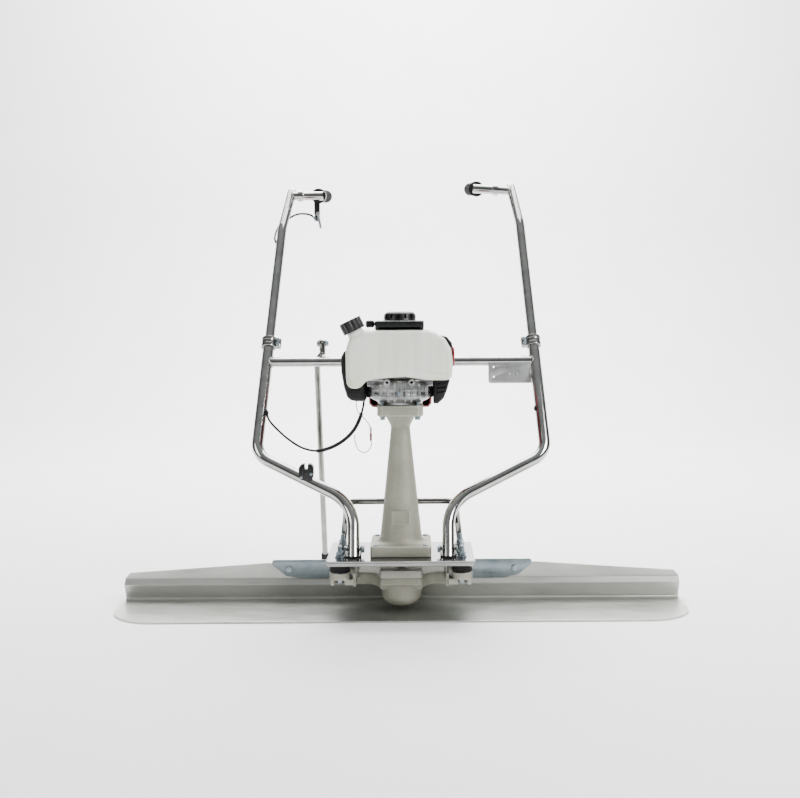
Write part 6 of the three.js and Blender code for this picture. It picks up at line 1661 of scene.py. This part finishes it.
# A smooth curve through the points that the cable is tied to.
def through(points, per_span=7):
    points = [Vector(p) for p in points]
    ghost = [points[0] * 2 - points[1]] + points + [points[-1] * 2 - points[-2]]
    made = []
    for i in range(1, len(ghost) - 2):
        p0, p1, p2, p3 = ghost[i - 1], ghost[i], ghost[i + 1], ghost[i + 2]
        t0 = 0.0
        t1 = t0 + math.sqrt((p1 - p0).length)
        t2 = t1 + math.sqrt((p2 - p1).length)
        t3 = t2 + math.sqrt((p3 - p2).length)
        for k in range(per_span):
            t = t1 + (t2 - t1) * k / per_span
            a1 = p0.lerp(p1, (t - t0) / (t1 - t0))
            a2 = p1.lerp(p2, (t - t1) / (t2 - t1))
            a3 = p2.lerp(p3, (t - t2) / (t3 - t2))
            b1 = a1.lerp(a2, (t - t0) / (t2 - t0))
            b2 = a2.lerp(a3, (t - t1) / (t3 - t1))
            made.append(b1.lerp(b2, (t - t1) / (t2 - t1)))
    return made + [points[-1]]


upper_run = [anchor_out + anchor_way, (-226, 430, 866), (-243, 420, 868), (-258, 406, 864.5),
             (-271, 396, 857), (-284, 389, 848), (-294, 379, 838), (-299.5, 364, 826), (-302, 346, 812),
             (-300.5, 327, 798), (-292, 316, 784), (-284.5, 304, 766),
             on_upright(-1, 740), on_upright(-1, 660), on_upright(-1, 580), on_upright(-1, 474)]
upper_cable = piece("throttle_cable_above", swept(through(upper_run), CABLE_R, sides=16), jacket, None,
                    ["throttle_cable_upper"])
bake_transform(upper_cable)
lower_run = [on_upright(-1, 425), (-300, 104.5, 414.5), (-293.5, 98, 408.3), (-285.5, 93, 391.2),
             (-265.5, 90, 369.8), (-240.3, 88, 348.4), (-212.9, 86, 332.5), (-182.3, 84, 326.4),
             (-151.8, 82, 333.7), (-123.5, 80, 349.8), (-101.8, 78, 371.7), (-87.6, 77, 399.9),
             (-80, 76, 430), (-80, 76, 460), (-81, 76.5, 488.8)]
piece("throttle_cable_below", swept(through(lower_run), CABLE_R, sides=16), jacket, "machine",
      ["throttle_cable_lower"])
loom_line = through(lower_run)
loom = [p for p in loom_line if -186 < p.x < -84 and p.z < 410]
piece("loom_sleeve", swept(loom, [4.0 + 0.12 * (i % 2) for i in range(len(loom))], 1.2, 20), jacket,
      "machine")
grommet_way = (Vector((-293.5, 98, 408.3)) - Vector((-300, 104.5, 414.5))).normalized()
grommet = turned([(2.7, -5), (5.6, -5), (6.0, -4), (6.0, 1.2), (5.2, 2.6), (4.2, 6.4), (2.7, 6.4)],
                 (-294.5, 99.0, 409.3), grommet_way, 36)
piece("cable_grommet", grommet, rubber, "machine")
plug_at = on_upright(1, 412)
plug_way = Vector((-1, -0.35, 0.2)).normalized()
plug = turned([(0, 8), (6.0, 8), (6.2, 13.2), (5.2, 14.6), (3.0, 15.2), (0, 15.4)], plug_at, plug_way, 36)
piece("tube_plug", plug, rubber, "machine")

wire_grey, wire_grey_skin = begin_finish("grey_wire")
wire_cloud = speckle(wire_grey, 200.0, 3.0)
fed(wire_grey, wire_grey_skin.inputs["Base Color"],
    tone(wire_grey, wire_cloud, (0.020, 0.019, 0.018), (0.045, 0.043, 0.04)))
fed(wire_grey, wire_grey_skin.inputs["Roughness"], rescaled(wire_grey, wire_cloud, 0.4, 0.6))
wire_run = [(-91, 72, 489.2), (-94, 68, 470), (-94.6, 66, 440), (-95.7, 65, 428.8), (-92.5, 64, 413.7),
            (-83.9, 62, 404), (-73.2, 62, 392.3), (-66.5, 62, 381), (-64.6, 62, 370), (-64.4, 62, 352),
            (-63.6, 62, 341), (-68.9, 63, 330), (-80.7, 64, 324.7), (-92.5, 66, 332.2), (-98.9, 68, 349.4),
            (-99.5, 71, 362)]
piece("stop_wire_loop", swept(through(wire_run, 5), 1.0, sides=12), wire_grey, "machine", ["stop_wire"])
cream, cream_skin = begin_finish("cream_nylon")
cream_cloud = speckle(cream, 200.0, 3.0)
fed(cream, cream_skin.inputs["Base Color"], tone(cream, cream_cloud, (0.56, 0.50, 0.40), (0.66, 0.60, 0.50)))
fed(cream, cream_skin.inputs["Roughness"], rescaled(cream, cream_cloud, 0.4, 0.55))
sockets = turned([(1.05, 0), (2.4, 0), (2.6, 0.4), (2.6, 11), (2.4, 11.4), (1.05, 11.4)], (-64.6, 62, 367.2),
                 (0.004, 0, 1), 28)
piece("plug_cream_half", sockets, cream, "machine")
red_half = turned([(1.05, 0), (2.2, 0), (2.6, 0.6), (2.6, 15.6), (2.2, 16.2), (1.05, 16.2)],
                  (-64.45, 62, 350.2), (-0.006, 0, 1), 28)
piece("plug_red_half", red_half, shroud, "machine")
